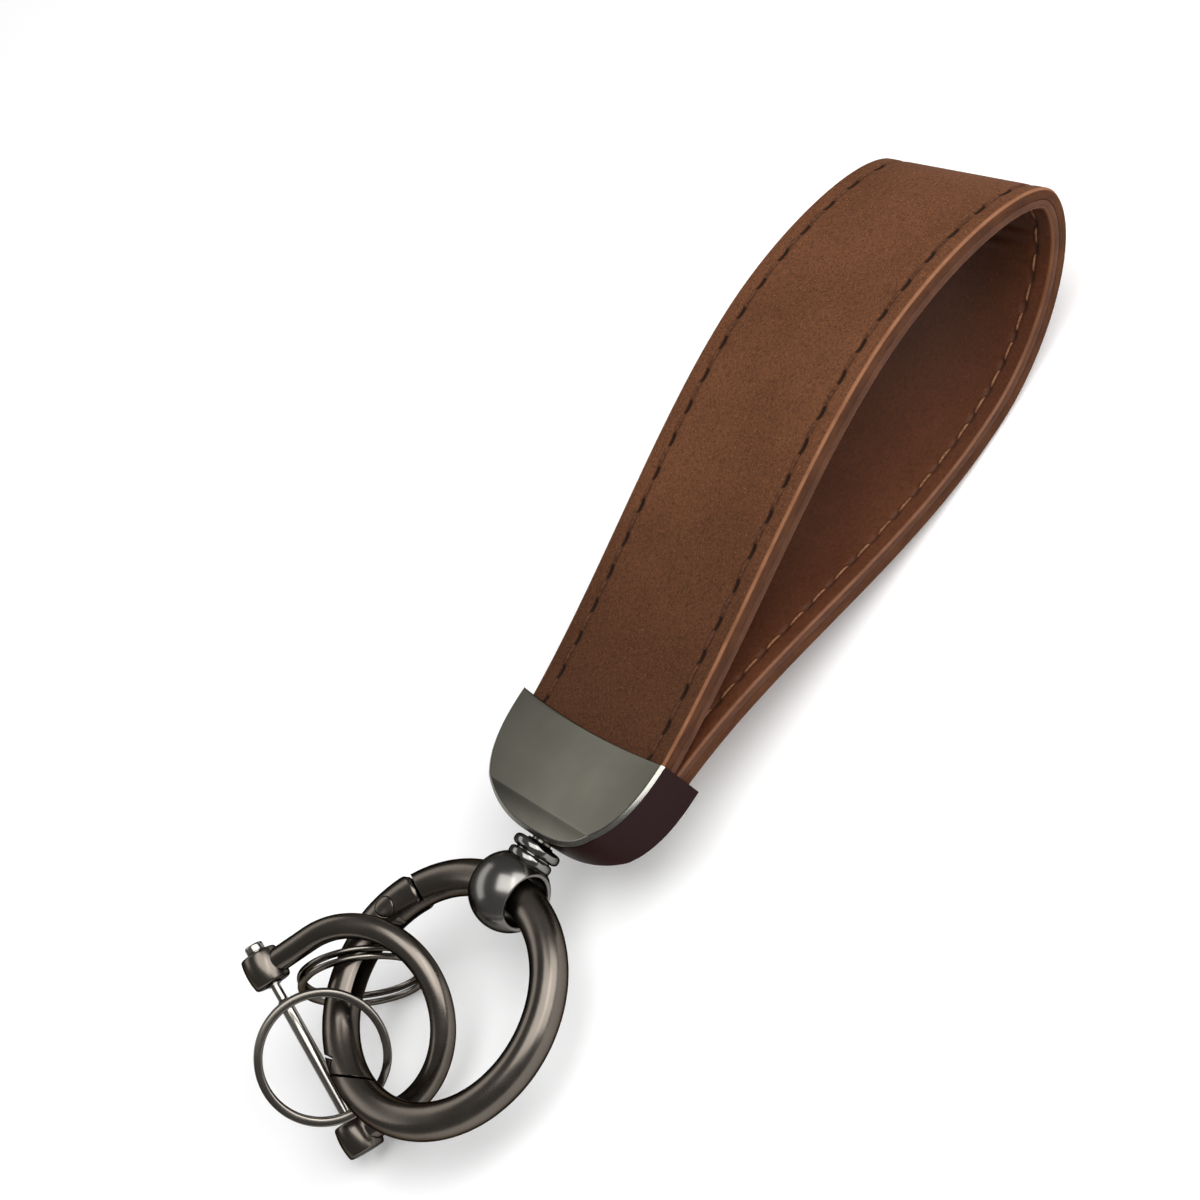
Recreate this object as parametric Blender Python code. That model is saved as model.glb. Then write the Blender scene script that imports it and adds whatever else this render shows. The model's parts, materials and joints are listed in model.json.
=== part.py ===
"""Keychain lanyard: a leather strap loop in a metal cap, a swivel ball, a gate ring, a horseshoe
shackle and two split rings. It lies on its back, with the loop at -X and the rings at +X."""

import math

import bmesh
import bpy
import numpy as np
from mathutils import Euler, Matrix, Vector

# Fit between pieces that touch
GAP = 0.0003

# Strap: a band of outer leather and a lining, folded into one loop
STRAP_WIDTH = 0.0282
OUTER_THICKNESS = 0.00145
LINING_THICKNESS = 0.0011
EDGE_ROUND = 0.0003
LOOP_LENGTH = 0.0899
FRONT_RISE = 0.0118
BACK_DROP = 0.01575
STRAP_IN_CAP = 0.0078
FRONT_CREST_SHARE = 0.65
BACK_CREST_SHARE = 0.706
FRONT_SLOPE_SHARE = 0.1
BACK_SLOPE_SHARE = 0.08
MOUTH_HANDLE_SHARE = 0.34
FRONT_HANDLE_SHARE = 0.7
BACK_HANDLE_SHARE = 0.64
TIP_LENGTH_SHARE = 0.48
TIP_RISE_SHARE = 0.52
LOOP_SKEW_SHARE = 0.0117
LOOP_TWIST = -2.0
LOOP_STEPS = 13

# Cap: a bucket-shaped shell that holds both ends of the strap
CAP_LENGTH = 0.016
CAP_HALF_WIDTH = 0.0153
CAP_WALL = 0.0009
CAP_CREASE_DEPTH = 0.0125
CAP_CHAMFER = 0.0015
CAP_POCKET_DEPTH = 0.0108
CAP_MOUTH_SAG = 0.0009
CAP_EDGE = 0.0004
CAP_ROUNDNESS = 2.65
CAP_STEPS = 44

# Swivel: a headed pin through the cap's floor, and a ball with a ribbed neck
PIN_RADIUS = 0.0014
PIN_HEAD_RADIUS = 0.0026
PIN_HEAD_THICKNESS = 0.0012
NECK_FLANGE_RADIUS = 0.0034
NECK_FLANGE_THICKNESS = 0.0011
NECK_GROOVE_RADIUS = 0.0024
NECK_GROOVE_WIDTH = 0.0006
NECK_COLLAR_RADIUS = 0.0031
NECK_COLLAR_THICKNESS = 0.0009
BALL_RADIUS = 0.0054
BALL_DISTANCE = 0.0078
BALL_HOLE_RADIUS = 0.0035
BALL_HOLE_LIP = 0.0003
BALL_STEPS = 32
SWIVEL_REST = -6.0

# Gate ring
RING_RADIUS = 0.01635
WIRE_RADIUS = 0.0025
RING_SEAT = 0.0003
RING_TILT_REST = 1.4
RING_STEPS = 60
WIRE_SIDES = 16
HINGE_ANGLE = -110.0
HINGE_INSET = 0.0006
HINGE_REACH = 0.005
EAR_SWELL = 0.0003
LAP_ANGLE = -28.2
LAP_STEP = 0.0021
LAP_LEDGE = 0.0009
TONGUE_RADIUS = 0.0017
TONGUE_THICKNESS = 0.002
SLOT_WEB = 0.00105
SLOT_LENGTH = 0.0147
RIVET_RADIUS = 0.0007
RIVET_HEAD_RADIUS = 0.0014
RIVET_HEAD_HEIGHT = 0.0005

# Horseshoe shackle and its screw pin. What hangs on the ring has its place along the wire from the
# rivet, and out from the chord between its two crossings with the wire
BOW_RADIUS = 0.012756
BOW_LEG = 0.008011
BOW_WIRE_RADIUS = 0.0017
BOSS_RADIUS = 0.0028
BOSS_LENGTH = 0.0046
BOSS_BULGE_SHARE = 0.55
BOLT_RADIUS = 0.00095
BOLT_NECK_RADIUS = 0.00065
BOLT_NECK_LENGTH = 0.0022
BOLT_HEAD_RADIUS = 0.0015
BOLT_HEAD_THICKNESS = 0.001
BOLT_SLOT_WIDTH = 0.0004
BOLT_SLOT_DEPTH = 0.0004
BOLT_DEPTH_SHARE = 0.22
SHACKLE_ALONG = 0.018909
SHACKLE_SPAN = 0.022
SHACKLE_HANG_ALONG = 0.024256
SHACKLE_OUT = 0.009442
SHACKLE_LIFT = -0.001414
SHACKLE_TURN = (4.7, 28.3, 102.9)

# Split rings: two turns of flat wire each
SPLIT_RADIUS = 0.0084
SPLIT_WIRE_WIDTH = 0.00115
SPLIT_WIRE_THICKNESS = 0.0007
SPLIT_PITCH = 0.00118
SPLIT_RAMP_ANGLE = 26.0
SPLIT_TIP_ANGLE = 9.0
SPLIT_STEPS = 44
SPLIT_SECTION_SHARES = ((1, 0.45), (0.6, 1), (-0.6, 1), (-1, 0.45),
                        (-1, -0.45), (-0.6, -1), (0.6, -1), (1, -0.45))
SPLIT_SPAN = 0.012
FRONT_SPLIT_ALONG = 0.021964
FRONT_SPLIT_HANG_ALONG = 0.022829
FRONT_SPLIT_OUT = 0.002837
FRONT_SPLIT_LIFT = 0.002375
FRONT_SPLIT_TURN = (-37.9, -32.6, 60.0)
REAR_SPLIT_ALONG = 0.009742
REAR_SPLIT_HANG_ALONG = 0.007134
REAR_SPLIT_OUT = 0.002588
REAR_SPLIT_LIFT = -0.004296
REAR_SPLIT_TURN = (-58.0, -97.2, 0.0)


def clear_scene():
    for obj in list(bpy.data.objects):
        bpy.data.objects.remove(obj, do_unlink=True)


def material(name, colour, roughness, metallic):
    made = bpy.data.materials.new(name)
    made.use_nodes = True
    shader = made.node_tree.nodes["Principled BSDF"]
    shader.inputs["Base Color"].default_value = (*colour, 1.0)
    shader.inputs["Roughness"].default_value = roughness
    shader.inputs["Metallic"].default_value = metallic
    return made


def empty(name, parent, matrix):
    made = bpy.data.objects.new(name, None)
    bpy.context.scene.collection.objects.link(made)
    made.parent = parent
    made.matrix_basis = matrix
    return made


def solid(name, bm, parent, look, matrix=Matrix(), sharp=35.0):
    """One closed piece from a bmesh, with its faces turned outwards."""
    bmesh.ops.recalc_face_normals(bm, faces=bm.faces)
    mesh = bpy.data.meshes.new(name)
    bm.to_mesh(mesh)
    bm.free()
    mesh.materials.append(look)
    mesh.shade_smooth()
    mesh.set_sharp_from_angle(angle=math.radians(sharp))
    made = bpy.data.objects.new(name, mesh)
    bpy.context.scene.collection.objects.link(made)
    made.parent = parent
    made.matrix_basis = matrix
    return made


def cut(target, *cutters):
    """Take each cutter, made in the target's own frame, out of the target."""
    combine(target, "DIFFERENCE", cutters)


def combine(target, operation, others):
    for bm in others:
        tool = solid(f"{target.name}_{operation.lower()}_{len(target.modifiers)}", bm, target.parent,
                     target.active_material, target.matrix_basis)
        tool.hide_render = True
        tool.display_type = "WIRE"
        step = target.modifiers.new(tool.name, "BOOLEAN")
        step.operation = operation
        step.solver = "EXACT"
        step.object = tool


def loft(rings):
    """Skin a row of matching rings of points, with a cap at each end."""
    bm = bmesh.new()
    rows = [[bm.verts.new(point) for point in ring] for ring in rings]
    for low, high in zip(rows, rows[1:]):
        for i in range(len(low)):
            j = (i + 1) % len(low)
            bm.faces.new((low[i], low[j], high[j], high[i]))
    bm.faces.new(rows[0][::-1])
    bm.faces.new(rows[-1])
    return bm


def circle(centre, across, up, radius, sides):
    turns = [2 * math.pi * i / sides for i in range(sides)]
    return [centre + radius * (math.cos(t) * across + math.sin(t) * up) for t in turns]


def turned(profile, sides):
    """Turn (distance along X, radius) points round the X axis."""
    across, up = Vector((0, 1, 0)), Vector((0, 0, 1))
    return loft([circle(Vector((x, 0, 0)), across, up, radius, sides) for x, radius in profile])


def prism(outline, low, high):
    """Extrude an outline in X and Y from one height to another."""
    return loft([[Vector((x, y, z)) for x, y in outline] for z in (low, high)])


def polar(centre, radius, degrees):
    turn = math.radians(degrees)
    return centre[0] + radius * math.cos(turn), centre[1] + radius * math.sin(turn)


def sector(centre, inner, outer, start, end, steps=12):
    """Outline of a piece of a flat ring, between two radii and two angles."""
    turns = [start + (end - start) * i / steps for i in range(steps + 1)]
    return ([polar(centre, outer, t) for t in turns]
            + [polar(centre, inner, t) for t in reversed(turns)])


def disc(centre, radius, sides=28):
    return [polar(centre, radius, 360.0 * i / sides) for i in range(sides)]


def bezier(points, steps):
    """Points of one cubic curve, without its first."""
    a, b, c, d = (np.array(point) for point in points)
    shares = [i / steps for i in range(1, steps + 1)]
    return [(1 - s) ** 3 * a + 3 * (1 - s) ** 2 * s * b + 3 * (1 - s) * s * s * c + s**3 * d
            for s in shares]


# Strap


def mouth_height():
    """Height of the strap's outer face where it leaves the cap."""
    return GAP / 2 + LINING_THICKNESS + GAP + OUTER_THICKNESS


def loop_outline():
    """The strap's outer face, seen from the side: from inside the cap, round the loop and back."""
    low = mouth_height()
    far = LOOP_LENGTH
    front = FRONT_CREST_SHARE * far
    back = BACK_CREST_SHARE * far
    front_handle = MOUTH_HANDLE_SHARE * front
    back_handle = MOUTH_HANDLE_SHARE * back
    line = [np.array((-STRAP_IN_CAP * share, low)) for share in (1.0, 0.5, 0.0)]
    line += bezier([(0, low), (front_handle, low + front_handle * FRONT_SLOPE_SHARE),
                    (front * FRONT_HANDLE_SHARE, FRONT_RISE), (front, FRONT_RISE)], LOOP_STEPS)
    line += bezier([(front, FRONT_RISE), (front + (far - front) * TIP_LENGTH_SHARE, FRONT_RISE),
                    (far, FRONT_RISE * TIP_RISE_SHARE), (far, 0)], LOOP_STEPS)
    line += bezier([(far, 0), (far, -BACK_DROP * TIP_RISE_SHARE),
                    (back + (far - back) * TIP_LENGTH_SHARE, -BACK_DROP), (back, -BACK_DROP)], LOOP_STEPS)
    line += bezier([(back, -BACK_DROP), (back * BACK_HANDLE_SHARE, -BACK_DROP),
                    (back_handle, -low - back_handle * BACK_SLOPE_SHARE), (0, -low)], LOOP_STEPS)
    line += [np.array((-STRAP_IN_CAP * share, -low)) for share in (0.5, 1.0)]
    return [(-a, z) for a, z in line]


def strap_half_width(x):
    """Half the strap's width, trimmed where it enters the cap."""
    if x <= 0:
        return STRAP_WIDTH / 2
    return min(STRAP_WIDTH / 2, pocket_half_width(x) - GAP)


def warp(point):
    """Skew and twist a point of the strap: one edge of the loop reaches further than the other."""
    x, y, z = point
    share = max(0.0, -x / LOOP_LENGTH)
    twist = math.radians(LOOP_TWIST) * share * share
    skewed = x * (1 + LOOP_SKEW_SHARE * y / (STRAP_WIDTH / 2)) if x < 0 else x
    return Vector((skewed, y * math.cos(twist) - z * math.sin(twist),
                   y * math.sin(twist) + z * math.cos(twist)))


def band(depth, thickness):
    """A layer of the strap, from one depth under its outer face to another."""
    line = [Vector((x, 0, z)) for x, z in loop_outline()]
    rings = []
    for i, point in enumerate(line):
        along = (line[min(i + 1, len(line) - 1)] - line[max(i - 1, 0)]).normalized()
        inward = Vector((along.z, 0, -along.x))
        half = strap_half_width(point.x)
        edge = EDGE_ROUND
        section = [(-half + edge, 0), (half - edge, 0), (half, edge), (half, thickness - edge),
                   (half - edge, thickness), (-half + edge, thickness), (-half, thickness - edge),
                   (-half, edge)]
        rings.append([warp(point - inward * (depth + d) + Vector((0, y, 0))) for y, d in section])
    return loft(rings)


# Cap


def bucket(half_width, length, depth, steps):
    """Rounded outline of the cap, from its mouth at X = 0 down to a depth."""
    points = []
    for i in range(steps + 1):
        turn = math.pi / 2 - math.pi * i / steps
        x = length * abs(math.cos(turn)) ** (2 / CAP_ROUNDNESS)
        y = half_width * math.copysign(abs(math.sin(turn)) ** (2 / CAP_ROUNDNESS), turn)
        points.append((min(x, depth), y))
    return points


def cap_half_thickness():
    return mouth_height() + GAP + CAP_WALL


def pocket_half_width(x):
    share = min(x / (CAP_LENGTH - CAP_WALL), 1.0)
    return (CAP_HALF_WIDTH - CAP_WALL) * (1 - share**CAP_ROUNDNESS) ** (1 / CAP_ROUNDNESS)


def cap_shell(parent, look):
    half = cap_half_thickness()
    bm = prism(bucket(CAP_HALF_WIDTH, CAP_LENGTH, CAP_LENGTH, CAP_STEPS), -half, half)
    bmesh.ops.bisect_plane(bm, geom=bm.verts[:] + bm.edges[:] + bm.faces[:],
                           plane_co=(CAP_CREASE_DEPTH, 0, 0), plane_no=(1, 0, 0))
    slope = CAP_CHAMFER / (CAP_LENGTH - CAP_CREASE_DEPTH)
    for vert in bm.verts:
        drop = max(0.0, vert.co.x - CAP_CREASE_DEPTH) * slope
        vert.co.z -= math.copysign(drop, vert.co.z)
    cap = solid("cap_shell", bm, parent, look, sharp=30.0)
    edge = cap.modifiers.new("edge", "BEVEL")
    edge.width = CAP_EDGE
    edge.segments = 2
    edge.limit_method = "ANGLE"
    edge.angle_limit = math.radians(50)
    inner = half - CAP_WALL
    pocket = bucket(CAP_HALF_WIDTH - CAP_WALL, CAP_LENGTH - CAP_WALL, CAP_POCKET_DEPTH, CAP_STEPS)
    mouth = [(-CAP_WALL, y) for y in (-CAP_HALF_WIDTH + CAP_WALL, CAP_HALF_WIDTH - CAP_WALL)]
    hole = turned([(CAP_POCKET_DEPTH - CAP_WALL, PIN_RADIUS + GAP),
                   (CAP_LENGTH + CAP_WALL, PIN_RADIUS + GAP)], BALL_STEPS)
    cut(cap, prism(mouth_arc(), -2 * half, 2 * half), prism(clean(pocket + mouth), -inner, inner), hole)
    return cap


def mouth_arc(steps=24):
    """Outline of what the cap's curved mouth leaves out, over its whole width."""
    radius = (CAP_HALF_WIDTH**2 + CAP_MOUTH_SAG**2) / (2 * CAP_MOUTH_SAG)
    spread = math.degrees(math.asin(CAP_HALF_WIDTH / radius)) * 1.2
    arc = [polar((CAP_MOUTH_SAG - radius, 0), radius, spread * (2 * i / steps - 1)) for i in range(steps + 1)]
    return arc + [(-2 * CAP_WALL, arc[-1][1]), (-2 * CAP_WALL, arc[0][1])]


def clean(outline):
    """Drop points that repeat or lie on a straight stretch."""
    kept = []
    count = len(outline)
    for i, (x, y) in enumerate(outline):
        px, py = kept[-1] if kept else outline[-1]
        qx, qy = outline[(i + 1) % count]
        turn = (x - px) * (qy - y) - (y - py) * (qx - x)
        if abs(turn) > 1e-6 * math.hypot(x - px, y - py) * CAP_LENGTH:
            kept.append((x, y))
    return kept


# Swivel


def ball_centre():
    return CAP_LENGTH + BALL_DISTANCE


def swivel_ball(parent, look):
    """The ball with its ribbed neck, in one turned piece, bored across for the gate ring."""
    neck = CAP_LENGTH + GAP - ball_centre()
    widths = [(NECK_FLANGE_THICKNESS, NECK_FLANGE_RADIUS), (NECK_GROOVE_WIDTH, NECK_GROOVE_RADIUS),
              (NECK_COLLAR_THICKNESS, NECK_COLLAR_RADIUS)]
    profile = []
    start = neck
    for width, radius in widths:
        round_off = width * 0.25 if radius > NECK_GROOVE_RADIUS else 0.0
        profile.append((start, radius - round_off))
        if round_off:
            profile += [(start + round_off, radius), (start + width - round_off, radius)]
        profile.append((start + width, radius - round_off))
        start += width
    begin = math.acos(max(-1.0, min(1.0, -start / BALL_RADIUS)))
    count = BALL_STEPS // 2
    for i in range(count):
        turn = begin + (math.pi - begin) * (i + 0.5) / count
        profile.append((-BALL_RADIUS * math.cos(turn), BALL_RADIUS * math.sin(turn)))
    ball = solid("swivel_ball", turned(profile, BALL_STEPS), parent, look)
    reach = BALL_RADIUS + BALL_HOLE_RADIUS
    lip = math.sqrt(BALL_RADIUS**2 - BALL_HOLE_RADIUS**2)
    hole = [(-reach, BALL_HOLE_RADIUS + reach - lip), (-lip + BALL_HOLE_LIP, BALL_HOLE_RADIUS),
            (lip - BALL_HOLE_LIP, BALL_HOLE_RADIUS), (reach, BALL_HOLE_RADIUS + reach - lip)]
    across = turned(hole, BALL_STEPS)
    bmesh.ops.rotate(across, verts=across.verts, matrix=Matrix.Rotation(math.pi / 2, 3, "Z"))
    bore = turned([(neck - BALL_HOLE_LIP, PIN_RADIUS + GAP),
                   (-BALL_HOLE_RADIUS - CAP_WALL, PIN_RADIUS + GAP)], BALL_STEPS)
    cut(ball, across, bore)
    return ball


def swivel_pin(parent, look):
    """The headed pin: its head turns behind the cap's floor and its end is fixed in the ball."""
    head = CAP_POCKET_DEPTH - GAP - PIN_HEAD_THICKNESS - ball_centre()
    seat = head + PIN_HEAD_THICKNESS
    end = -BALL_HOLE_RADIUS - CAP_WALL - GAP
    profile = [(head, PIN_HEAD_RADIUS * 0.7), (head + PIN_HEAD_THICKNESS * 0.4, PIN_HEAD_RADIUS),
               (seat, PIN_HEAD_RADIUS), (seat, PIN_RADIUS), (end, PIN_RADIUS)]
    return solid("swivel_pin", turned(profile, BALL_STEPS), parent, look)


# Gate ring, in its own frame: X away from the ball, Z square to the ring


def pivot():
    return polar((0, 0), RING_RADIUS - HINGE_INSET, HINGE_ANGLE)


def lap_point():
    return polar((0, 0), RING_RADIUS, LAP_ANGLE)


def lap_reach():
    """Distance from the gate's pivot to its free end."""
    return math.dist(pivot(), lap_point())


def lap_turn():
    """Direction of the gate's free end from its pivot, in degrees."""
    (px, py), (x, y) = pivot(), lap_point()
    return math.degrees(math.atan2(y - py, x - px))


def arc_tube(start, end, steps, swell=None):
    """A bent round bar between two angles, whose radius swell(angle) can add to."""
    rings = []
    for i in range(steps + 1):
        angle = start + (end - start) * i / steps
        x, y = polar((0, 0), RING_RADIUS, angle)
        out = Vector(polar((0, 0), 1.0, angle)).to_3d()
        radius = WIRE_RADIUS + (swell(angle) if swell else 0.0)
        rings.append(circle(Vector((x, y, 0)), out, Vector((0, 0, 1)), radius, WIRE_SIDES))
    return loft(rings)


def web_radius():
    """Inner face of the gate's outer wall, from the ring's centre."""
    return RING_RADIUS + WIRE_RADIUS - SLOT_WEB


def outer_lens(reach, limit, steps=14):
    """Outline of what lies near the pivot and beyond a distance from the ring's centre."""
    px, py = pivot()
    away = math.hypot(px, py)
    swing = math.degrees(math.acos((limit**2 - away**2 - reach**2) / (2 * away * reach)))
    spread = math.degrees(math.acos((limit**2 + away**2 - reach**2) / (2 * away * limit)))
    shares = [i / steps for i in range(steps + 1)]
    far = [polar((px, py), reach, HINGE_ANGLE - swing + 2 * swing * share) for share in shares]
    near = [polar((0, 0), limit, HINGE_ANGLE + spread - 2 * spread * share) for share in shares[1:-1]]
    return far + near


def tail_angle():
    """Angle on the ring at which the gate's tail ends."""
    return HINGE_ANGLE - math.degrees(HINGE_REACH / RING_RADIUS)


def ring_body(parent, look, frame):
    """The long arc of the ring, with a tongue for the hinge and a stepped end for the gate."""
    tall = 2 * WIRE_RADIUS
    start = LAP_ANGLE - math.degrees(1.6 * WIRE_RADIUS / RING_RADIUS)
    end = 360 + HINGE_ANGLE + math.degrees(TONGUE_RADIUS / RING_RADIUS)
    ring = solid("ring_body", arc_tube(start, end, RING_STEPS), parent, look, frame)
    turn, reach, half = lap_turn(), lap_reach(), TONGUE_THICKNESS / 2
    wide = math.degrees(3 * WIRE_RADIUS / reach)
    ledge = turn - math.degrees(LAP_LEDGE / reach)
    lap = prism(sector(pivot(), reach - 3 * WIRE_RADIUS, reach, turn - wide, turn + wide), -tall, tall)
    step = prism(sector(pivot(), reach - WIRE_RADIUS, reach + LAP_STEP, ledge, turn + wide), -tall, tall)
    cheek = HINGE_REACH + GAP
    cheeks = [prism(disc(pivot(), cheek), low, high) for low, high in ((half, tall), (-tall, -half))]
    # The tongue is round about the pivot, and lower than the gate's web up to the shoulder
    rim = prism(sector(pivot(), TONGUE_RADIUS, cheek + TONGUE_RADIUS, HINGE_ANGLE - 15,
                       HINGE_ANGLE + 195, 20), -tall, tall)
    hole = prism(disc(pivot(), RIVET_RADIUS + GAP, 16), -tall, tall)
    cut(ring, lap, step, *cheeks, rim, prism(outer_lens(cheek, web_radius() - GAP), -tall, tall), hole)
    return ring


def ring_gate(parent, look, frame):
    """The short arc that opens inwards, hollow at its hinge end, in the pivot's frame."""
    tall = 2 * WIRE_RADIUS
    turn, reach = lap_turn(), lap_reach()
    start = tail_angle() - math.degrees(WIRE_RADIUS / RING_RADIUS)
    end = LAP_ANGLE + math.degrees(2.6 * WIRE_RADIUS / RING_RADIUS)

    def swell(angle):
        share = min(1.0, max(0.0, (HINGE_ANGLE + 22.0 - angle) / 14.0))
        return EAR_SWELL * share * share * (3 - 2 * share)

    wide = math.degrees(3.2 * WIRE_RADIUS / reach)
    ledge = turn - math.degrees(LAP_LEDGE / reach)
    half = TONGUE_THICKNESS / 2 + GAP
    beyond = reach + 3 * WIRE_RADIUS
    near_end = ledge + math.degrees(GAP / reach)
    lap = sector(pivot(), reach - GAP, beyond, turn - wide, near_end)
    step = sector(pivot(), reach + LAP_STEP - GAP, beyond, turn - wide, turn + wide)
    tail = sector(pivot(), HINGE_REACH, HINGE_REACH + tall, HINGE_ANGLE - 150, HINGE_ANGLE - 40)
    slot_end = HINGE_ANGLE + math.degrees(SLOT_LENGTH / RING_RADIUS)
    slot = sector((0, 0), RING_RADIUS - tall, web_radius(), tail_angle() - 20, slot_end, 16)
    hole = disc(pivot(), RIVET_RADIUS + GAP, 16)
    gate = solid("ring_gate", arc_tube(start, end, RING_STEPS // 2, swell), parent, look, frame)
    cut(gate, *[prism(outline, -tall, tall) for outline in (lap, step, tail)], prism(slot, -half, half),
        prism(hole, -tall, tall))
    return gate


def gate_rivet(parent, look, frame):
    seat = WIRE_RADIUS + EAR_SWELL + GAP / 2
    domed = [(seat, RIVET_RADIUS), (seat, RIVET_HEAD_RADIUS),
             (seat + RIVET_HEAD_HEIGHT * 0.5, RIVET_HEAD_RADIUS * 0.85),
             (seat + RIVET_HEAD_HEIGHT, RIVET_HEAD_RADIUS * 0.45)]
    bm = turned([(-x, radius) for x, radius in reversed(domed)] + domed, 20)
    bmesh.ops.rotate(bm, verts=bm.verts, matrix=Matrix.Rotation(math.pi / 2, 3, "Y"))
    bmesh.ops.translate(bm, verts=bm.verts, vec=(*pivot(), 0))
    return solid("gate_rivet", bm, parent, look, frame)


# Shackle, in its own frame: X along its pin, Y out to its bow


def bow_path():
    line = [Vector((-BOW_RADIUS, BOW_LEG * i / 3, 0)) for i in range(3)]
    for i in range(27):
        turn = math.pi * (1 - i / 26)
        line.append(Vector((BOW_RADIUS * math.cos(turn), BOW_LEG + BOW_RADIUS * math.sin(turn), 0)))
    return line + [Vector((BOW_RADIUS, BOW_LEG * i / 3, 0)) for i in (2, 1, 0)]


def tube(line, radius, sides):
    """A round bar along a flat path."""
    rings = []
    for i, point in enumerate(line):
        along = (line[min(i + 1, len(line) - 1)] - line[max(i - 1, 0)]).normalized()
        rings.append(circle(point, along.cross(Vector((0, 0, 1))), Vector((0, 0, 1)), radius, sides))
    return loft(rings)


def boss(place):
    """One round boss of the shackle, flat at both ends, where the screw pin passes."""
    half = BOSS_LENGTH / 2
    profile = []
    for i in range(9):
        x = -half + BOSS_LENGTH * i / 8
        profile.append((place + x, math.sqrt(BOSS_RADIUS**2 - (x * BOSS_BULGE_SHARE) ** 2)))
    return turned(profile, 24)


def shackle_bow(parent, look, frame):
    bow = solid("shackle_bow", tube(bow_path(), BOW_WIRE_RADIUS, 14), parent, look, frame)
    combine(bow, "UNION", [boss(-BOW_RADIUS), boss(BOW_RADIUS)])
    cut(bow, turned([(-BOW_RADIUS - BOSS_LENGTH, BOLT_RADIUS + GAP),
                     (BOW_RADIUS + BOLT_DEPTH_SHARE * BOSS_LENGTH, BOLT_RADIUS + GAP)], 20))
    return bow


def shackle_pin(parent, look, frame):
    """The screw pin: a slotted head outside one boss, and its tip screwed into the other."""
    seat = -BOW_RADIUS - BOSS_LENGTH / 2 - GAP
    head = seat - BOLT_HEAD_THICKNESS
    neck = -BOW_RADIUS + BOSS_LENGTH / 2 + GAP
    tip = BOW_RADIUS + BOLT_DEPTH_SHARE * BOSS_LENGTH - GAP
    round_off = BOLT_HEAD_THICKNESS * 0.3
    profile = [(head, BOLT_HEAD_RADIUS - round_off), (head + round_off, BOLT_HEAD_RADIUS),
               (seat, BOLT_HEAD_RADIUS), (seat, BOLT_RADIUS), (neck, BOLT_RADIUS),
               (neck, BOLT_NECK_RADIUS), (neck + BOLT_NECK_LENGTH, BOLT_NECK_RADIUS),
               (neck + BOLT_NECK_LENGTH + round_off, BOLT_RADIUS), (tip, BOLT_RADIUS)]
    pin = solid("shackle_pin", turned(profile, 20), parent, look, frame)
    deep, wide, long = BOLT_SLOT_DEPTH, BOLT_SLOT_WIDTH / 2, 2 * BOLT_HEAD_RADIUS
    slot = [(head - deep, -long), (head + deep, -long), (head + deep, long), (head - deep, long)]
    cut(pin, prism(slot, -wide, wide))
    return pin


# Split rings


def coil_point(degrees):
    """Centre of the wire at an angle along its two turns, with the step between the turns."""
    share = min(1.0, max(0.0, (degrees - 360 + SPLIT_TIP_ANGLE + SPLIT_RAMP_ANGLE) / SPLIT_RAMP_ANGLE))
    rise = SPLIT_PITCH * (share * share * (3 - 2 * share) - 0.5)
    x, y = polar((0, 0), SPLIT_RADIUS, degrees)
    return Vector((x, y, rise))


def coil_end():
    return 720 - 2 * SPLIT_TIP_ANGLE - SPLIT_RAMP_ANGLE


def coil_gap():
    """Least gap between one turn and the next."""
    steps = 400
    line = [coil_point(coil_end() * i / steps) for i in range(steps + 1)]
    apart = steps * 180 // int(coil_end())
    least = min((line[j] - line[i]).length for i in range(steps + 1) for j in range(i + apart, steps + 1))
    return least - SPLIT_WIRE_THICKNESS


def split_ring(name, parent, look, frame):
    count = 2 * SPLIT_STEPS
    rings = []
    wide, thick = SPLIT_WIRE_WIDTH / 2, SPLIT_WIRE_THICKNESS / 2
    for i in range(count + 1):
        degrees = coil_end() * i / count
        out = Vector(polar((0, 0), 1.0, degrees)).to_3d()
        centre = coil_point(degrees)
        rings.append([centre + out * wide * a + Vector((0, 0, thick * b)) for a, b in SPLIT_SECTION_SHARES])
    return solid(name, loft(rings), parent, look, frame, sharp=50.0)


def on_ring(along, span, out, lift, turn):
    """A frame beside the wire at a distance along it, turned from its radial, tangent and normal."""
    degrees = HINGE_ANGLE + math.degrees(along / RING_RADIUS)
    x, y = polar((0, 0), RING_RADIUS * math.cos(span / 2 / RING_RADIUS) + out, degrees)
    about = Euler([math.radians(t) for t in turn], "XYZ").to_matrix().to_4x4()
    return Matrix.Translation((x, y, lift)) @ Matrix.Rotation(math.radians(degrees), 4, "Z") @ about


def lowest(points, tilt):
    """Height of the lowest point of the loop and of the rings, after a tilt about Y."""
    heights = points[:, 2] * math.cos(tilt) - points[:, 0] * math.sin(tilt)
    return heights[points[:, 0] < 0].min(), heights[points[:, 0] > 0].min()


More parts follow.
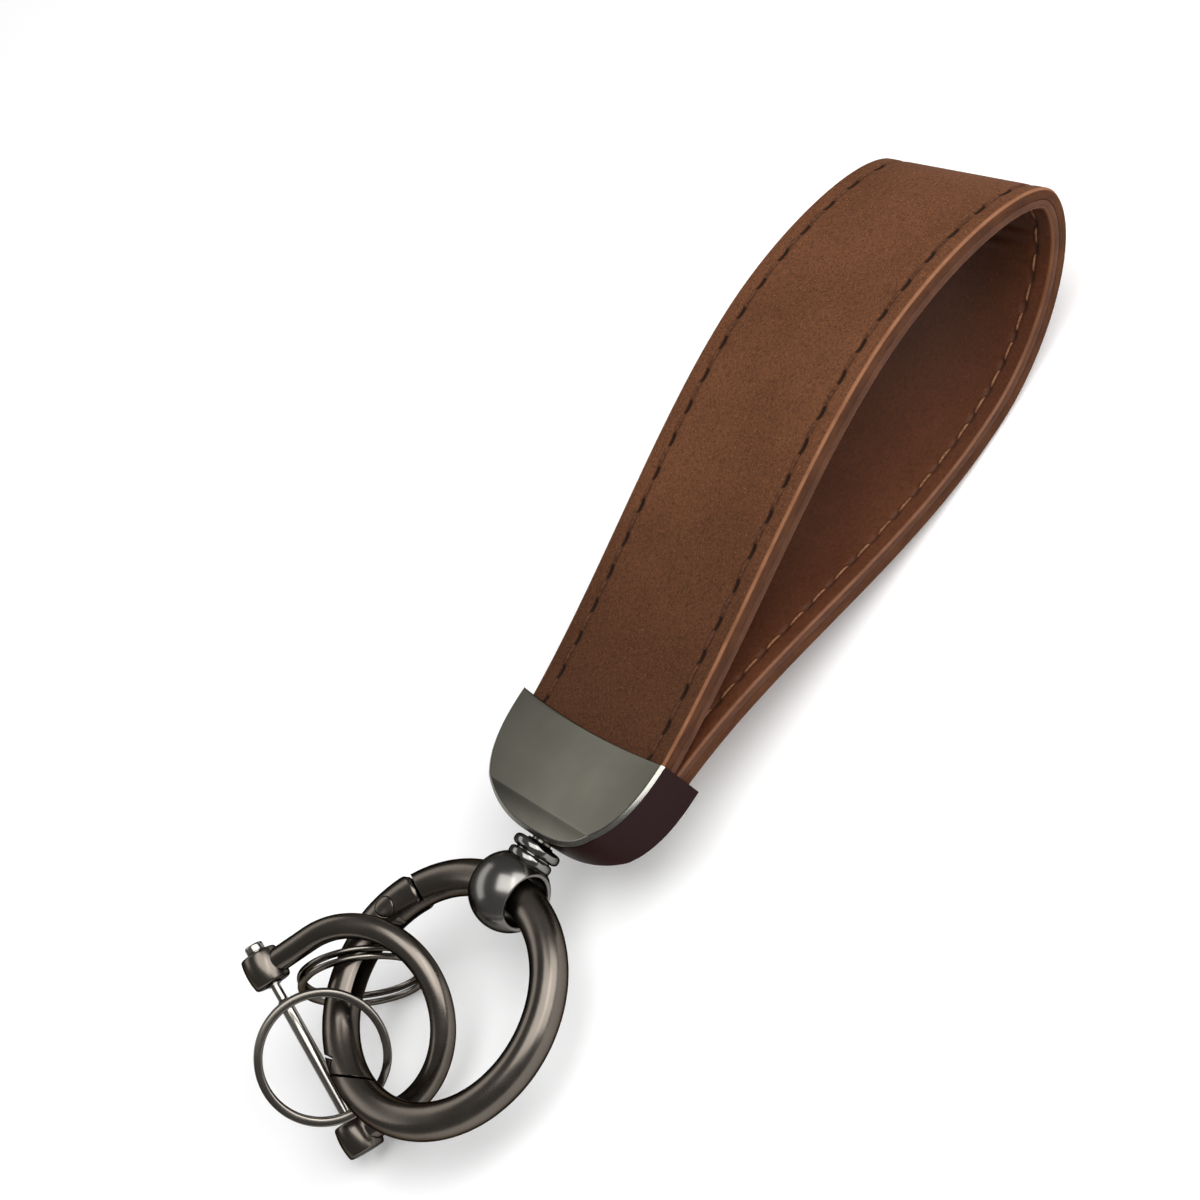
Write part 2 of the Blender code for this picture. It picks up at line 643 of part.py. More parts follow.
def lay_down(root, pieces):
    """Tilt the part until its loop and its rings both touch the surface, and centre it there."""
    bpy.context.view_layer.update()
    graph = bpy.context.evaluated_depsgraph_get()
    points = []
    for piece in pieces:
        seen = piece.evaluated_get(graph)
        mesh = seen.to_mesh()
        points += [seen.matrix_world @ vert.co for vert in mesh.vertices]
        seen.to_mesh_clear()
    cloud = np.array([tuple(point) for point in points])
    low, high = -math.radians(12), math.radians(12)
    for _ in range(40):
        tilt = (low + high) / 2
        loop, rings = lowest(cloud, tilt)
        low, high = (tilt, high) if rings > loop else (low, tilt)
    turned_cloud = cloud @ np.array(Matrix.Rotation(tilt, 3, "Y")).T
    least, most = turned_cloud.min(axis=0), turned_cloud.max(axis=0)
    root.matrix_basis = (Matrix.Translation((-(least[0] + most[0]) / 2, -(least[1] + most[1]) / 2,
                                             -least[2])) @ Matrix.Rotation(tilt, 4, "Y"))


def build():
    clear_scene()
    leather = material("strap_leather", (0.115, 0.05, 0.028), 0.85, 0.0)
    lining = material("lining_leather", (0.1, 0.04, 0.022), 0.6, 0.0)
    cap_metal = material("cap_gunmetal", (0.12, 0.12, 0.11), 0.36, 1.0)
    ring_metal = material("ring_gunmetal", (0.12, 0.112, 0.105), 0.33, 1.0)
    dark_metal = material("wire_gunmetal", (0.09, 0.083, 0.078), 0.3, 1.0)
    root = empty("lanyard", None, Matrix())
    pieces = [solid("strap_outer", band(0, OUTER_THICKNESS), root, leather),
              solid("strap_lining", band(OUTER_THICKNESS + GAP, LINING_THICKNESS), root, lining),
              cap_shell(root, cap_metal)]
    swivel = empty("swivel", root, Matrix.Translation((ball_centre(), 0, 0))
                   @ Matrix.Rotation(math.radians(SWIVEL_REST), 4, "X"))
    pieces += [swivel_ball(swivel, ring_metal), swivel_pin(swivel, dark_metal)]
    tilt = empty("ring_tilt", swivel, Matrix.Rotation(math.radians(RING_TILT_REST), 4, "Y"))
    centre = Matrix.Translation((RING_RADIUS - RING_SEAT, 0, 0))
    pieces += [ring_body(tilt, ring_metal, centre), gate_rivet(tilt, ring_metal, centre)]
    at_pivot = Matrix.Translation((*pivot(), 0))
    hinge = empty("gate_hinge", tilt, centre @ at_pivot)
    on_gate = at_pivot.inverted()
    pieces.append(ring_gate(hinge, ring_metal, on_gate))
    hang = on_ring(SHACKLE_HANG_ALONG, 0, 0, 0, (0, 0, 0))
    swing = empty("shackle_swing", tilt, centre @ hang)
    placed = on_ring(SHACKLE_ALONG, SHACKLE_SPAN, SHACKLE_OUT, SHACKLE_LIFT, SHACKLE_TURN)
    pieces.append(shackle_bow(swing, ring_metal, hang.inverted() @ placed))
    pieces.append(shackle_pin(swing, dark_metal, hang.inverted() @ placed))
    for name, hang_along, along, out, lift, turn in (
            ("split_ring_front", FRONT_SPLIT_HANG_ALONG, FRONT_SPLIT_ALONG, FRONT_SPLIT_OUT,
             FRONT_SPLIT_LIFT, FRONT_SPLIT_TURN),
            ("split_ring_rear", REAR_SPLIT_HANG_ALONG, REAR_SPLIT_ALONG, REAR_SPLIT_OUT,
             REAR_SPLIT_LIFT, REAR_SPLIT_TURN)):
        hang = on_ring(hang_along, 0, 0, 0, (0, 0, 0))
        swing = empty(name + "_swing", hinge, on_gate @ hang)
        rx, ry, spin = turn
        placed = on_ring(along, SPLIT_SPAN, out, lift, (rx, ry, 0))
        placed = placed @ Matrix.Rotation(math.radians(spin), 4, "Z")
        pieces.append(split_ring(name, swing, dark_metal, hang.inverted() @ placed))
    lay_down(root, pieces)
    print("least gap between a split ring's turns, in mm:", round(coil_gap() * 1000, 2))


build()
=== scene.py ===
"""Keychain lanyard, dressed for the render: leather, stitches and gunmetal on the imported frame."""
import json
import math

import bmesh
import bpy
import numpy as np
from mathutils import Euler, Matrix, Vector
from mathutils.bvhtree import BVHTree


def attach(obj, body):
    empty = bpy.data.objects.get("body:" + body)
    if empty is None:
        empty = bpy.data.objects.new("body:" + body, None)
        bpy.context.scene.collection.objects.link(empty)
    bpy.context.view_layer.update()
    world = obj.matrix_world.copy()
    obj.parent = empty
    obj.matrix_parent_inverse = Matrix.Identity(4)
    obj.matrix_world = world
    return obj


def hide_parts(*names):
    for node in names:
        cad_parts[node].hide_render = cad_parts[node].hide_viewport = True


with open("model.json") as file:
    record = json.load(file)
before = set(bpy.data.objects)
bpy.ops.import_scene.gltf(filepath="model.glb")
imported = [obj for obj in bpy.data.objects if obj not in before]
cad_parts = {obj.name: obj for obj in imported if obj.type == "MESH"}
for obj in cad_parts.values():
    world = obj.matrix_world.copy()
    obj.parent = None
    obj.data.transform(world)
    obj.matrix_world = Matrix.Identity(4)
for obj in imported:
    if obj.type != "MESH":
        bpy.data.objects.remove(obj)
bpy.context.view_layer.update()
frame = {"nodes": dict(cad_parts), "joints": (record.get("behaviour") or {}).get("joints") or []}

MM = 0.001
GAP = 0.3 * MM
ACROSS, UPWARDS = Vector((0, 1, 0)), Vector((0, 0, 1))

# Strap: shares are of the loop's own lengths
STRAP_WIDTH = 28.2 * MM
OUTER_THICKNESS = 1.45 * MM
LINING_THICKNESS = 1.1 * MM
MOUTH_HEIGHT = GAP / 2 + LINING_THICKNESS + GAP + OUTER_THICKNESS
LOOP_LENGTH = 89.9 * MM
LOOP_SKEW_SHARE = 0.0117
LOOP_TWIST = -2.0
LOOP_STEP = 0.28 * MM
FRONT_RISE = 11.8 * MM
BACK_DROP = 15.75 * MM
FRONT_CREST_SHARE = 0.65
BACK_CREST_SHARE = 0.706
FRONT_SLOPE_SHARE = 0.1
BACK_SLOPE_SHARE = 0.08
MOUTH_HANDLE_SHARE = 0.34
FRONT_HANDLE_SHARE = 0.7
BACK_HANDLE_SHARE = 0.64
TIP_LENGTH_SHARE = 0.48
TIP_RISE_SHARE = 0.52
STRAP_IN_CAP = 7.8 * MM
FACE_CORNER = 0.5 * MM
HIDDEN_CORNER = 0.12 * MM

# Stitches: pitch and phase of each row, and the dents and creases pressed into the leather
STITCH_INSET = 2.9 * MM
STITCH_START = 1.4 * MM
STITCH_DIP = 0.36 * MM
OUTER_STITCH = (4.9 * MM, 0.0)
LINING_STITCH = (4.4 * MM, 0.25)
FURROW_WIDTH = 0.42 * MM
FURROW_DEPTH = 0.1 * MM
HOLE_LENGTH = 0.85 * MM
HOLE_DEPTH = 0.3 * MM
# Painted shade colour for the needle holes and along the stitch furrows.
HOLE_SHADE_COLOUR = (0.014, 0.006, 0.003)
CREASE_SPREAD = 12 * MM
CREASE_DEPTH = 0.2 * MM

# Cap
CAP_LENGTH = 16.0 * MM
CAP_HALF_WIDTH = 15.3 * MM
CAP_WALL = 0.9 * MM
CAP_CREASE_DEPTH = 12.5 * MM
CAP_CREASE_ROUND = 0.25 * MM
CAP_CHAMFER = 1.5 * MM
CAP_POCKET_DEPTH = 10.8 * MM
CAP_MOUTH_SAG = 0.9 * MM
CAP_MOUTH_ROUND = 0.16 * MM
CAP_ROUNDNESS = 2.65

# Swivel: each collar of the neck is its length, its foot's radius and its own radius
PIN_RADIUS = 1.4 * MM
BALL_RADIUS = 5.4 * MM
BALL_DISTANCE = 7.8 * MM
BALL_HOLE_RADIUS = 3.5 * MM
BALL_HOLE_LIP = 0.38 * MM
BALL_CENTRE = CAP_LENGTH + BALL_DISTANCE
NECK_COLLARS = ((1.6 * MM, 2.3 * MM, 3.4 * MM), (0.12 * MM, 2.5 * MM, 2.5 * MM),
                (1.4 * MM, 2.5 * MM, 3.15 * MM))
SWIVEL_REST = -6.0

# Gate ring: angles are round the ring, in degrees
RING_RADIUS = 16.35 * MM
WIRE_RADIUS = 2.5 * MM
RING_SEAT = 0.3 * MM
RING_TILT_REST = 1.4
RING_EDGE_ROUND = 0.09 * MM
GATE_EDGE_ROUND = 0.08 * MM
HINGE_ANGLE = -110.0
HINGE_INSET = 0.6 * MM
HINGE_REACH = 5.0 * MM
EAR_SWELL = 0.3 * MM
EAR_SWELL_ANGLES = (22.0, 14.0)
TAIL_CURL = 0.55 * MM
LAP_ANGLE = -28.2
LAP_STEP = 2.1 * MM
LAP_LEDGE = 0.9 * MM
TONGUE_RADIUS = 1.7 * MM
TONGUE_THICKNESS = 2.0 * MM
SLOT_WEB = 1.05 * MM
SLOT_END_ANGLE = -58.49
RIVET_RADIUS = 0.7 * MM
RIVET_HEAD_RADIUS = 1.32 * MM
RIVET_HEAD_ROUND = 0.12 * MM
RIVET_HEAD_RISE = 0.04 * MM

# Shackle: its place is the angle round the ring, outwards, upwards, and the turns about X, Y, Z
BOW_RADIUS = 12.756 * MM
BOW_LEG = 8.011 * MM
BOW_WIRE_RADIUS = 1.7 * MM
BOSS_RADIUS = 2.8 * MM
BOSS_LENGTH = 4.6 * MM
BOSS_ROUND = 0.3 * MM
BOLT_RADIUS = 0.95 * MM
BOLT_THREAD_RADIUS = BOLT_RADIUS * 0.97
BOLT_NECK_RADIUS = 0.65 * MM
BOLT_NECK_LENGTH = 2.2 * MM
BOLT_HEAD_RADIUS = 1.3 * MM
BOLT_HEAD_THICKNESS = 1.0 * MM
BOLT_SLOT_WIDTH = 0.4 * MM
BOLT_SLOT_DEPTH = 0.4 * MM
BOLT_ROUND = 0.3 * MM
BOLT_DEPTH_SHARE = 0.22
SHACKLE_PLACE = (-43.737, 5.879 * MM, -1.414 * MM, (4.7, 28.3, 102.9))

# Split rings: places as the shackle's
SPLIT_RADIUS = 8.4 * MM
SPLIT_WIRE_WIDTH = 1.15 * MM
SPLIT_WIRE_THICKNESS = 0.7 * MM
SPLIT_PITCH = 1.18 * MM
SPLIT_RAMP_ANGLE = 26.0
SPLIT_TIP_ANGLE = 9.0
SPLIT_PLACES = {"front": (-33.031, 1.748 * MM, 2.375 * MM, (-37.9, -32.6, 175.0)),
                "rear": (-75.86, 1.499 * MM, -4.296 * MM, (-58.0, -97.2, -78.0))}

# Edge rounding of the cut pieces
ROUND_SEGMENTS = 2
ROUND_LIMIT = 42.0
ON_SURFACE = 0.02 * MM
SAME_WAY = 0.86

# Gunmetal: scales are per metre
CLOUD_SCALE = 90.0
SPECK_SCALE = 2600.0
SPECK_ROUGHNESS = 0.012
SPECK_DEPTH = 0.0015 * MM
# The edge band's paler colour is partly wear and partly a painted highlight.
RUBBED_AND_HIGHLIGHT_COLOUR, RUBBED_ROUGHNESS = (0.3, 0.29, 0.265), 0.24
NECK_COLOUR, NECK_ROUGHNESS = (0.2, 0.195, 0.185), 0.15

# Floor and camera: the camera is placed in the cap's own frame
FLOOR_HALF = 4.0
FLOOR_HEIGHT = -0.5 * MM
FLOOR_WHITE = 0.9
FLOOR_LIFT = 0.13
WORLD_STRENGTH = 0.2
CAMERA_LENS = 78.03
CAMERA_SENSOR = 36.0
CAMERA_PLACE = Vector((20.767, 244.722, 235.528)) * MM
CAMERA_RIGHT = Vector((-0.5459, 0.60206, -0.58267))
CAMERA_UP = Vector((-0.83146, -0.30359, 0.4653))
CAMERA_BACK = Vector((0.10325, 0.73848, 0.66632))

# Frames: the cap's mouth, the ball's centre and the gate ring's centre
swivel_joint = next(j for j in frame["joints"] if j["name"] == "swivel_turn")
ahead = Vector(swivel_joint["axis"])
ROOT = Matrix.Rotation(math.atan2(-ahead.z, ahead.x), 4, "Y")
ROOT.translation = Vector(swivel_joint["pos_m"]) - ROOT.to_3x3() @ Vector((BALL_CENTRE, 0, 0))
SWIVEL = (ROOT @ Matrix.Translation((BALL_CENTRE, 0, 0))
          @ Matrix.Rotation(math.radians(SWIVEL_REST), 4, "X"))
RING = (SWIVEL @ Matrix.Rotation(math.radians(RING_TILT_REST), 4, "Y")
        @ Matrix.Translation((RING_RADIUS - RING_SEAT, 0, 0)))


# Material nodes


def nodes_of(name):
    made = bpy.data.materials.new(name)
    made.use_nodes = True
    tree = made.node_tree
    return made, tree, tree.nodes["Principled BSDF"]


def feed(tree, made, inputs):
    """Link or set inputs of a node, each from a socket or a plain value."""
    for key, value in inputs.items():
        if hasattr(value, "links"):
            tree.links.new(value, made.inputs[key])
        else:
            made.inputs[key].default_value = value


def node(tree, kind, inputs=None, **settings):
    made = tree.nodes.new(kind)
    for key, value in settings.items():
        setattr(made, key, value)
    feed(tree, made, inputs or {})
    return made


def maths(tree, operation, *values):
    return node(tree, "ShaderNodeMath", dict(enumerate(values)), operation=operation).outputs[0]


def mix(tree, share, low, high, blend="MIX"):
    """Mix two colours, each a socket or a red, green and blue tuple."""
    inputs = {0: share}
    for key, value in ((6, low), (7, high)):
        inputs[key] = (*value, 1.0) if isinstance(value, tuple) else value
    return node(tree, "ShaderNodeMix", inputs, data_type="RGBA", blend_type=blend).outputs[2]


def mix_value(tree, share, low, high):
    return node(tree, "ShaderNodeMix", {0: share, 2: low, 3: high}, data_type="FLOAT").outputs[0]


def shaded(tree, base, tone):
    """The colour times a grey tone."""
    grey = node(tree, "ShaderNodeCombineColor", {"Red": tone, "Green": tone, "Blue": tone})
    return mix(tree, 1.0, base, grey.outputs[0], "MULTIPLY")


def noise(tree, vector, scale, detail=3.0, rough=0.55, stretch=None):
    if stretch:
        vector = node(tree, "ShaderNodeMapping", {"Vector": vector, "Scale": stretch}).outputs[0]
    return node(tree, "ShaderNodeTexNoise", {"Vector": vector, "Scale": scale, "Detail": detail,
                                             "Roughness": rough}).outputs["Fac"]


def ramp(tree, value, low, high, to_low=0.0, to_high=1.0, kind="SMOOTHSTEP"):
    inputs = {"Value": value, "From Min": low, "From Max": high, "To Min": to_low,
              "To Max": to_high}
    return node(tree, "ShaderNodeMapRange", inputs, interpolation_type=kind).outputs[0]


def bump(tree, shader, height, strength, distance):
    lump = node(tree, "ShaderNodeBump", {"Height": height, "Strength": strength,
                                         "Distance": distance})
    feed(tree, shader, {"Normal": lump.outputs[0]})


def scaled(colour, share):
    return tuple(channel * share for channel in colour)


# Gunmetal


def cap_painted_light(tree, coords, base, rough, speck, side):
    """Painted light on the cap: its face is painted paler towards its near side and, past the
    crease, towards its far tip; its side faces take a painted dark reflection; its edge band is
    painted paler and glossier, partly as wear and partly as a painted highlight.
    """
    place = node(tree, "ShaderNodeSeparateXYZ", {"Vector": coords.outputs["Object"]})
    facing = node(tree, "ShaderNodeSeparateXYZ", {"Vector": coords.outputs["Normal"]})
    level = maths(tree, "ABSOLUTE", facing.outputs[2])
    # Painted light: the face's tone rises from its far side to its near side.
    across = ramp(tree, place.outputs[1], -12 * MM, 16 * MM, 0.58, 1.36)
    crease = ROOT.translation.x + CAP_CREASE_DEPTH
    # Painted shade and light past the crease: the facet is darker at the crease and paler towards
    # the tip.
    tip = ramp(tree, place.outputs[0], crease, ROOT.translation.x + CAP_LENGTH, 0.6, 1.5)
    past_crease = ramp(tree, level, 0.97, 0.95)
    tone = maths(tree, "MULTIPLY", across, mix_value(tree, past_crease, 1.0, tip))
    base = shaded(tree, base, tone)
    # Painted reflection: the side faces are given the dark side colour.
    painted_dark_sides = ramp(tree, level, 0.72, 0.42)
    base = mix(tree, painted_dark_sides, base, side)
    # Painted highlight on the cap's edge band, paler and glossier, partly standing for wear.
    rubbed_and_highlight = maths(tree, "MULTIPLY", ramp(tree, level, 0.88, 0.82), ramp(tree, level, 0.55, 0.68))
    rubbed_and_highlight = maths(tree, "MULTIPLY", rubbed_and_highlight, ramp(tree, speck, 0.25, 0.5, 0.75, 1.0))
    return (mix(tree, rubbed_and_highlight, base, RUBBED_AND_HIGHLIGHT_COLOUR),
            mix_value(tree, rubbed_and_highlight, rough, RUBBED_ROUGHNESS))


def metal(name, colour, roughness, edge, side=None, bright_past=None):
    """Gunmetal plating: an even dark metal with faint clouds and fine speckle.

    Side is the painted dark reflection colour for a cap's side faces, and brings the cap's painted
    light and shade; past bright_past from the ball's centre the neck is polished.
    """
    made, tree, shader = nodes_of(name)
    coords = tree.nodes.new("ShaderNodeTexCoord")
    where = coords.outputs["Object"]
    cloud = noise(tree, where, CLOUD_SCALE)
    speck = noise(tree, where, SPECK_SCALE, 2.0)
    base = mix(tree, ramp(tree, cloud, 0.3, 0.7), scaled(colour, 0.85), scaled(colour, 1.15))
    clouded = ramp(tree, cloud, 0.35, 0.65, roughness - 0.025, roughness + 0.025)
    speckle = maths(tree, "MULTIPLY", maths(tree, "SUBTRACT", speck, 0.5), SPECK_ROUGHNESS)
    rough = maths(tree, "ADD", clouded, speckle)
    if side:
        # Painted light and shade on the cap, with the painted dark reflection on its side faces.
        base, rough = cap_painted_light(tree, coords, base, rough, speck, side)
    if bright_past:
        away = node(tree, "ShaderNodeVectorMath", {0: where, 1: tuple(SWIVEL.translation)},
                    operation="DISTANCE").outputs["Value"]
        bright = ramp(tree, away, bright_past, bright_past + 0.2 * MM)
        rough = mix_value(tree, bright, rough, NECK_ROUGHNESS)
        base = mix(tree, bright, base, NECK_COLOUR)
    feed(tree, shader, {"Base Color": base, "Roughness": rough, "Metallic": 1.0,
                        "Specular Tint": (*edge, 1.0)})
    bump(tree, shader, speck, 0.1, SPECK_DEPTH)
    return made


# Leather and thread. The strap's UV holds metres along the strap, and metres over its section:
# 0 at the middle of the face, growing towards either edge, past the half width on the side faces.


def strap_edges(tree, base, over, where, uv, ridge_light, side_tone):
    """Darker cut edges with lengthwise streaks, and a rubbed line along the ridge of each."""
    half = STRAP_WIDTH / 2
    ridge = maths(tree, "MULTIPLY", ramp(tree, over, half - 0.5 * MM, half - 0.28 * MM),
                  ramp(tree, over, half + 0.16 * MM, half - 0.02 * MM))
    burnish = ramp(tree, noise(tree, where, 300.0), 0.3, 0.65, 0.55, 1.0)
    rub = maths(tree, "MULTIPLY", ridge, burnish)
    side = ramp(tree, over, half, half + 0.2 * MM)
    streaks = noise(tree, uv, 900.0, 3.0, 0.6, stretch=(0.25, 1.0, 1.0))
    edge = mix(tree, ramp(tree, streaks, 0.3, 0.7), scaled(side_tone, 0.72),
               scaled(side_tone, 1.15))
    # Darker cut edges with lengthwise streaks, and a worn line along the ridge of each.
    return mix(tree, rub, mix(tree, side, base, edge), ridge_light), rub


def stitch_shade_marks(tree, along, over, where, stitch, slit_shade):
    """Painted shade: a dark needle hole at each end of a stitch, in a faintly darkened furrow."""
    (pitch, phase), (length, strength) = stitch, slit_shade
    turns = maths(tree, "ADD", maths(tree, "DIVIDE", along, pitch), phase)
    off_middle = maths(tree, "SUBTRACT", maths(tree, "FRACT", turns), 0.5)
    from_hole = maths(tree, "MULTIPLY", maths(tree, "ABSOLUTE", off_middle), pitch)
    wobble = ramp(tree, noise(tree, where, 420.0, 2.0), 0.3, 0.7, -0.35 * MM, 0.35 * MM, "LINEAR")
    aside = maths(tree, "SUBTRACT", over, STRAP_WIDTH / 2 - STITCH_INSET)
    aside = maths(tree, "ABSOLUTE", aside)
    # Painted shade in each needle hole at the stitch ends.
    cut = ramp(tree, maths(tree, "ADD", from_hole, wobble), length / 2 + 0.2 * MM,
               length / 2 - 0.2 * MM)
    cut = maths(tree, "MULTIPLY", cut, ramp(tree, aside, 0.4 * MM, 0.24 * MM))
    # Painted shade along the stitch furrow.
    furrow = ramp(tree, aside, 0.75 * MM, 0.1 * MM, 0.0, 0.3)
    return maths(tree, "MAXIMUM", maths(tree, "MULTIPLY", cut, strength), furrow)


def leather(name, lit, dim, roughness, gloss, ridge_light, side_tone, speck_scale, speck_gain,
            stitch, slit_shade, wrinkle=0.0):
    """Mottled, speckled leather. The lining is wrinkled, and the outer one is painted darker where
    it leaves the cap, as painted shade.
    """
    made, tree, shader = nodes_of(name)
    where = tree.nodes.new("ShaderNodeTexCoord").outputs["Object"]
    uv = node(tree, "ShaderNodeUVMap", uv_map="strap").outputs[0]
    split = node(tree, "ShaderNodeSeparateXYZ", {"Vector": uv})
    along, over = split.outputs[0], split.outputs[1]
    patches = noise(tree, where, 48.0, 4.0, 0.6)
    fine = noise(tree, where, speck_scale, 3.0, 0.7)
    fibre = noise(tree, where, speck_scale * 2.2, 2.0, 0.6)
    base = mix(tree, ramp(tree, patches, 0.3, 0.72), dim, lit)
    base = mix(tree, ramp(tree, fine, 0.58, 0.3, 0.0, 0.6), base, scaled(dim, 1 - speck_gain))
    base = mix(tree, ramp(tree, fibre, 0.54, 0.74, 0.0, 0.7), base,
               scaled(lit, 1 + speck_gain * 1.5))
    if not wrinkle:
        # Painted shade: the outer leather is darkened where it leaves the cap.
        base = shaded(tree, base, ramp(tree, along, STRAP_IN_CAP, STRAP_IN_CAP + 38 * MM, 0.6, 1.0))
    base, rub = strap_edges(tree, base, over, where, uv, ridge_light, side_tone)
    # Painted shade in the needle holes and furrows of the stitch rows.
    stitch_shade = stitch_shade_marks(tree, along, over, where, stitch, slit_shade)
    base = mix(tree, stitch_shade, base, HOLE_SHADE_COLOUR)
    rough = ramp(tree, fine, 0.3, 0.7, roughness - 0.05, roughness + 0.07)
    rough = maths(tree, "SUBTRACT", rough, maths(tree, "MULTIPLY", rub, 0.25))
    feed(tree, shader, {"Base Color": base, "Roughness": rough, "Specular IOR Level": gloss})
    height = maths(tree, "ADD", maths(tree, "MULTIPLY", fine, 0.7),
                   maths(tree, "MULTIPLY", fibre, 0.4))
    if wrinkle:
        stretched = noise(tree, uv, 260.0, stretch=(1.0, 0.12, 1.0))
        height = maths(tree, "ADD", height, maths(tree, "MULTIPLY", stretched, wrinkle))
    bump(tree, shader, height, 0.5, 0.06 * MM)
    return made


def thread(name, colour, dark):
    made, tree, shader = nodes_of(name)
    where = tree.nodes.new("ShaderNodeTexCoord").outputs["Object"]
    twist = noise(tree, where, 2200.0, 2.0)
    base = mix(tree, ramp(tree, twist, 0.35, 0.65), dark, colour)
    feed(tree, shader, {"Base Color": base, "Roughness": 0.75, "Specular IOR Level": 0.15})
    bump(tree, shader, twist, 0.6, 0.05 * MM)
    return made


# Mesh makers


def true_normals(mesh, surface):
    """Give corners on the true surface its own normal, so small faces beside a cut shade evenly."""
    points = np.array([tuple(v.co) for v in mesh.vertices])
    corners = np.array([tuple(n.vector) for n in mesh.corner_normals])
    owners = np.array([loop.vertex_index for loop in mesh.loops])
    faces = np.repeat([tuple(f.normal) for f in mesh.polygons],
                      [f.loop_total for f in mesh.polygons], axis=0)
    normals, off = surface(points)
    alike = (normals[owners] * faces).sum(axis=1) > SAME_WAY
    use = (off[owners] < ON_SURFACE) & alike
    corners[use] = normals[owners][use]
    mesh.normals_split_custom_set(corners.tolist())


def add_object(name, bm, look, matrix, body, *replaced, sharp=30.0, slot=None, surface=None):
    mesh = bpy.data.meshes.new(name)
    bmesh.ops.recalc_face_normals(bm, faces=bm.faces)
    bm.to_mesh(mesh)
    bm.free()
    mesh.materials.append(look)
    mesh.shade_smooth()
    mesh.set_sharp_from_angle(angle=math.radians(sharp))
    if surface:
        true_normals(mesh, surface)
    mesh.transform(matrix)
    made = bpy.data.objects.new(name, mesh)
    bpy.context.scene.collection.objects.link(made)
    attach(made, body)
    if replaced:
        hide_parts(*replaced)


def skin(bm, rings, closed=False):
    """Join rings of points by four-sided faces, and give back their vertices.

    Only as many points of a ring are joined as the first ring has. The rings of the cap's wall
    have up to four more, and leave out their last ones.
    """
    rows = [[bm.verts.new(point) for point in ring] for ring in rings]
    count = len(rows[0])
    for low, high in zip(rows, rows[1:] + rows[:1] if closed else rows[1:]):
        for i in range(count):
            j = (i + 1) % count
            bm.faces.new((low[i], low[j], high[j], high[i]))
    return rows


def add_loft(bm, rings):
    rows = skin(bm, rings)
    bm.faces.new(rows[0][::-1])
    bm.faces.new(rows[-1])


def loft(rings):
    bm = bmesh.new()
    add_loft(bm, rings)
    return bm


def circle(centre, across, up, radius, sides):
    turns = [2 * math.pi * i / sides for i in range(sides)]
    return [centre + radius * (math.cos(t) * across + math.sin(t) * up) for t in turns]


def turned(profile, sides):
    """A solid turned about X from pairs of place and radius."""
    return loft([circle(Vector((x, 0, 0)), ACROSS, UPWARDS, radius, sides)
                 for x, radius in profile])


def prism(outline, low, high):
    return loft([[Vector((x, y, z)) for x, y in outline] for z in (low, high)])


def polar(centre, radius, degrees):
    turn = math.radians(degrees)
    return centre[0] + radius * math.cos(turn), centre[1] + radius * math.sin(turn)


def sector(centre, inner, outer, start, end, steps=32):
    turns = [start + (end - start) * i / steps for i in range(steps + 1)]
    return ([polar(centre, outer, t) for t in turns]
            + [polar(centre, inner, t) for t in reversed(turns)])


def disc(centre, radius, sides=48):
    return [polar(centre, radius, 360.0 * i / sides) for i in range(sides)]


def sharp_edges(bm):
    limit = math.radians(ROUND_LIMIT)
    return [e for e in bm.edges if len(e.link_faces) == 2 and e.calc_face_angle(0.0) > limit]


def soften(bm, width):
    """Round the sharp edges, and keep every vertex near the surface it came from."""
    for _ in range(2):
        near = {v for e in sharp_edges(bm) for v in e.verts}
        near |= {other for v in near for e in v.link_edges for other in e.verts
                 if e.calc_length() < 1.1 * width}
        # Always in the mesh's own order, so that every run gives the same mesh
        bmesh.ops.remove_doubles(bm, verts=[v for v in bm.verts if v in near], dist=0.9 * width)
    bmesh.ops.dissolve_degenerate(bm, edges=bm.edges, dist=0.004 * MM)
    bmesh.ops.recalc_face_normals(bm, faces=bm.faces)
    before = BVHTree.FromBMesh(bm)
    bmesh.ops.bevel(bm, geom=sharp_edges(bm), offset=width, segments=ROUND_SEGMENTS,
                    affect="EDGES", profile=0.5, clamp_overlap=False)
    for vert in bm.verts:
        spot, _, _, away = before.find_nearest(vert.co)
        if away > 0.6 * width:
            vert.co = spot
    bmesh.ops.delete(bm, geom=[e for e in bm.edges if not e.link_faces], context="EDGES")
    holes = [e for e in bm.edges if len(e.link_faces) == 1]
    bmesh.ops.holes_fill(bm, edges=holes, sides=0)


def carved(bm, cutters, unions=(), round_off=0.0):
    """The mesh joined with each union and with each cutter taken out, its new edges rounded."""
    def hold(source):
        bmesh.ops.recalc_face_normals(source, faces=source.faces)
        mesh = bpy.data.meshes.new("tool")
        source.to_mesh(mesh)
        source.free()
        made = bpy.data.objects.new("tool", mesh)
        bpy.context.scene.collection.objects.link(made)
        return made

    target = hold(bm)
    tools = [target]
    for operation, group in (("UNION", unions), ("DIFFERENCE", cutters)):
        for source in group:
            tool = hold(source)
            tools.append(tool)
            step = target.modifiers.new("step", "BOOLEAN")
            step.operation = operation
            step.solver = "EXACT"
            step.object = tool
    bpy.context.view_layer.update()
    seen = target.evaluated_get(bpy.context.evaluated_depsgraph_get())
    out = bmesh.new()
    out.from_mesh(seen.to_mesh())
    seen.to_mesh_clear()
    for tool in tools:
        mesh = tool.data
        bpy.data.objects.remove(tool)
        bpy.data.meshes.remove(mesh)
    if round_off:
        soften(out, round_off)
    return out


# Strap


def bezier(points, steps):
    a, b, c, d = (np.array(point) for point in points)
    return [(1 - s) ** 3 * a + 3 * (1 - s) ** 2 * s * b + 3 * (1 - s) * s * s * c + s**3 * d
            for s in (i / steps for i in range(1, steps + 1))]


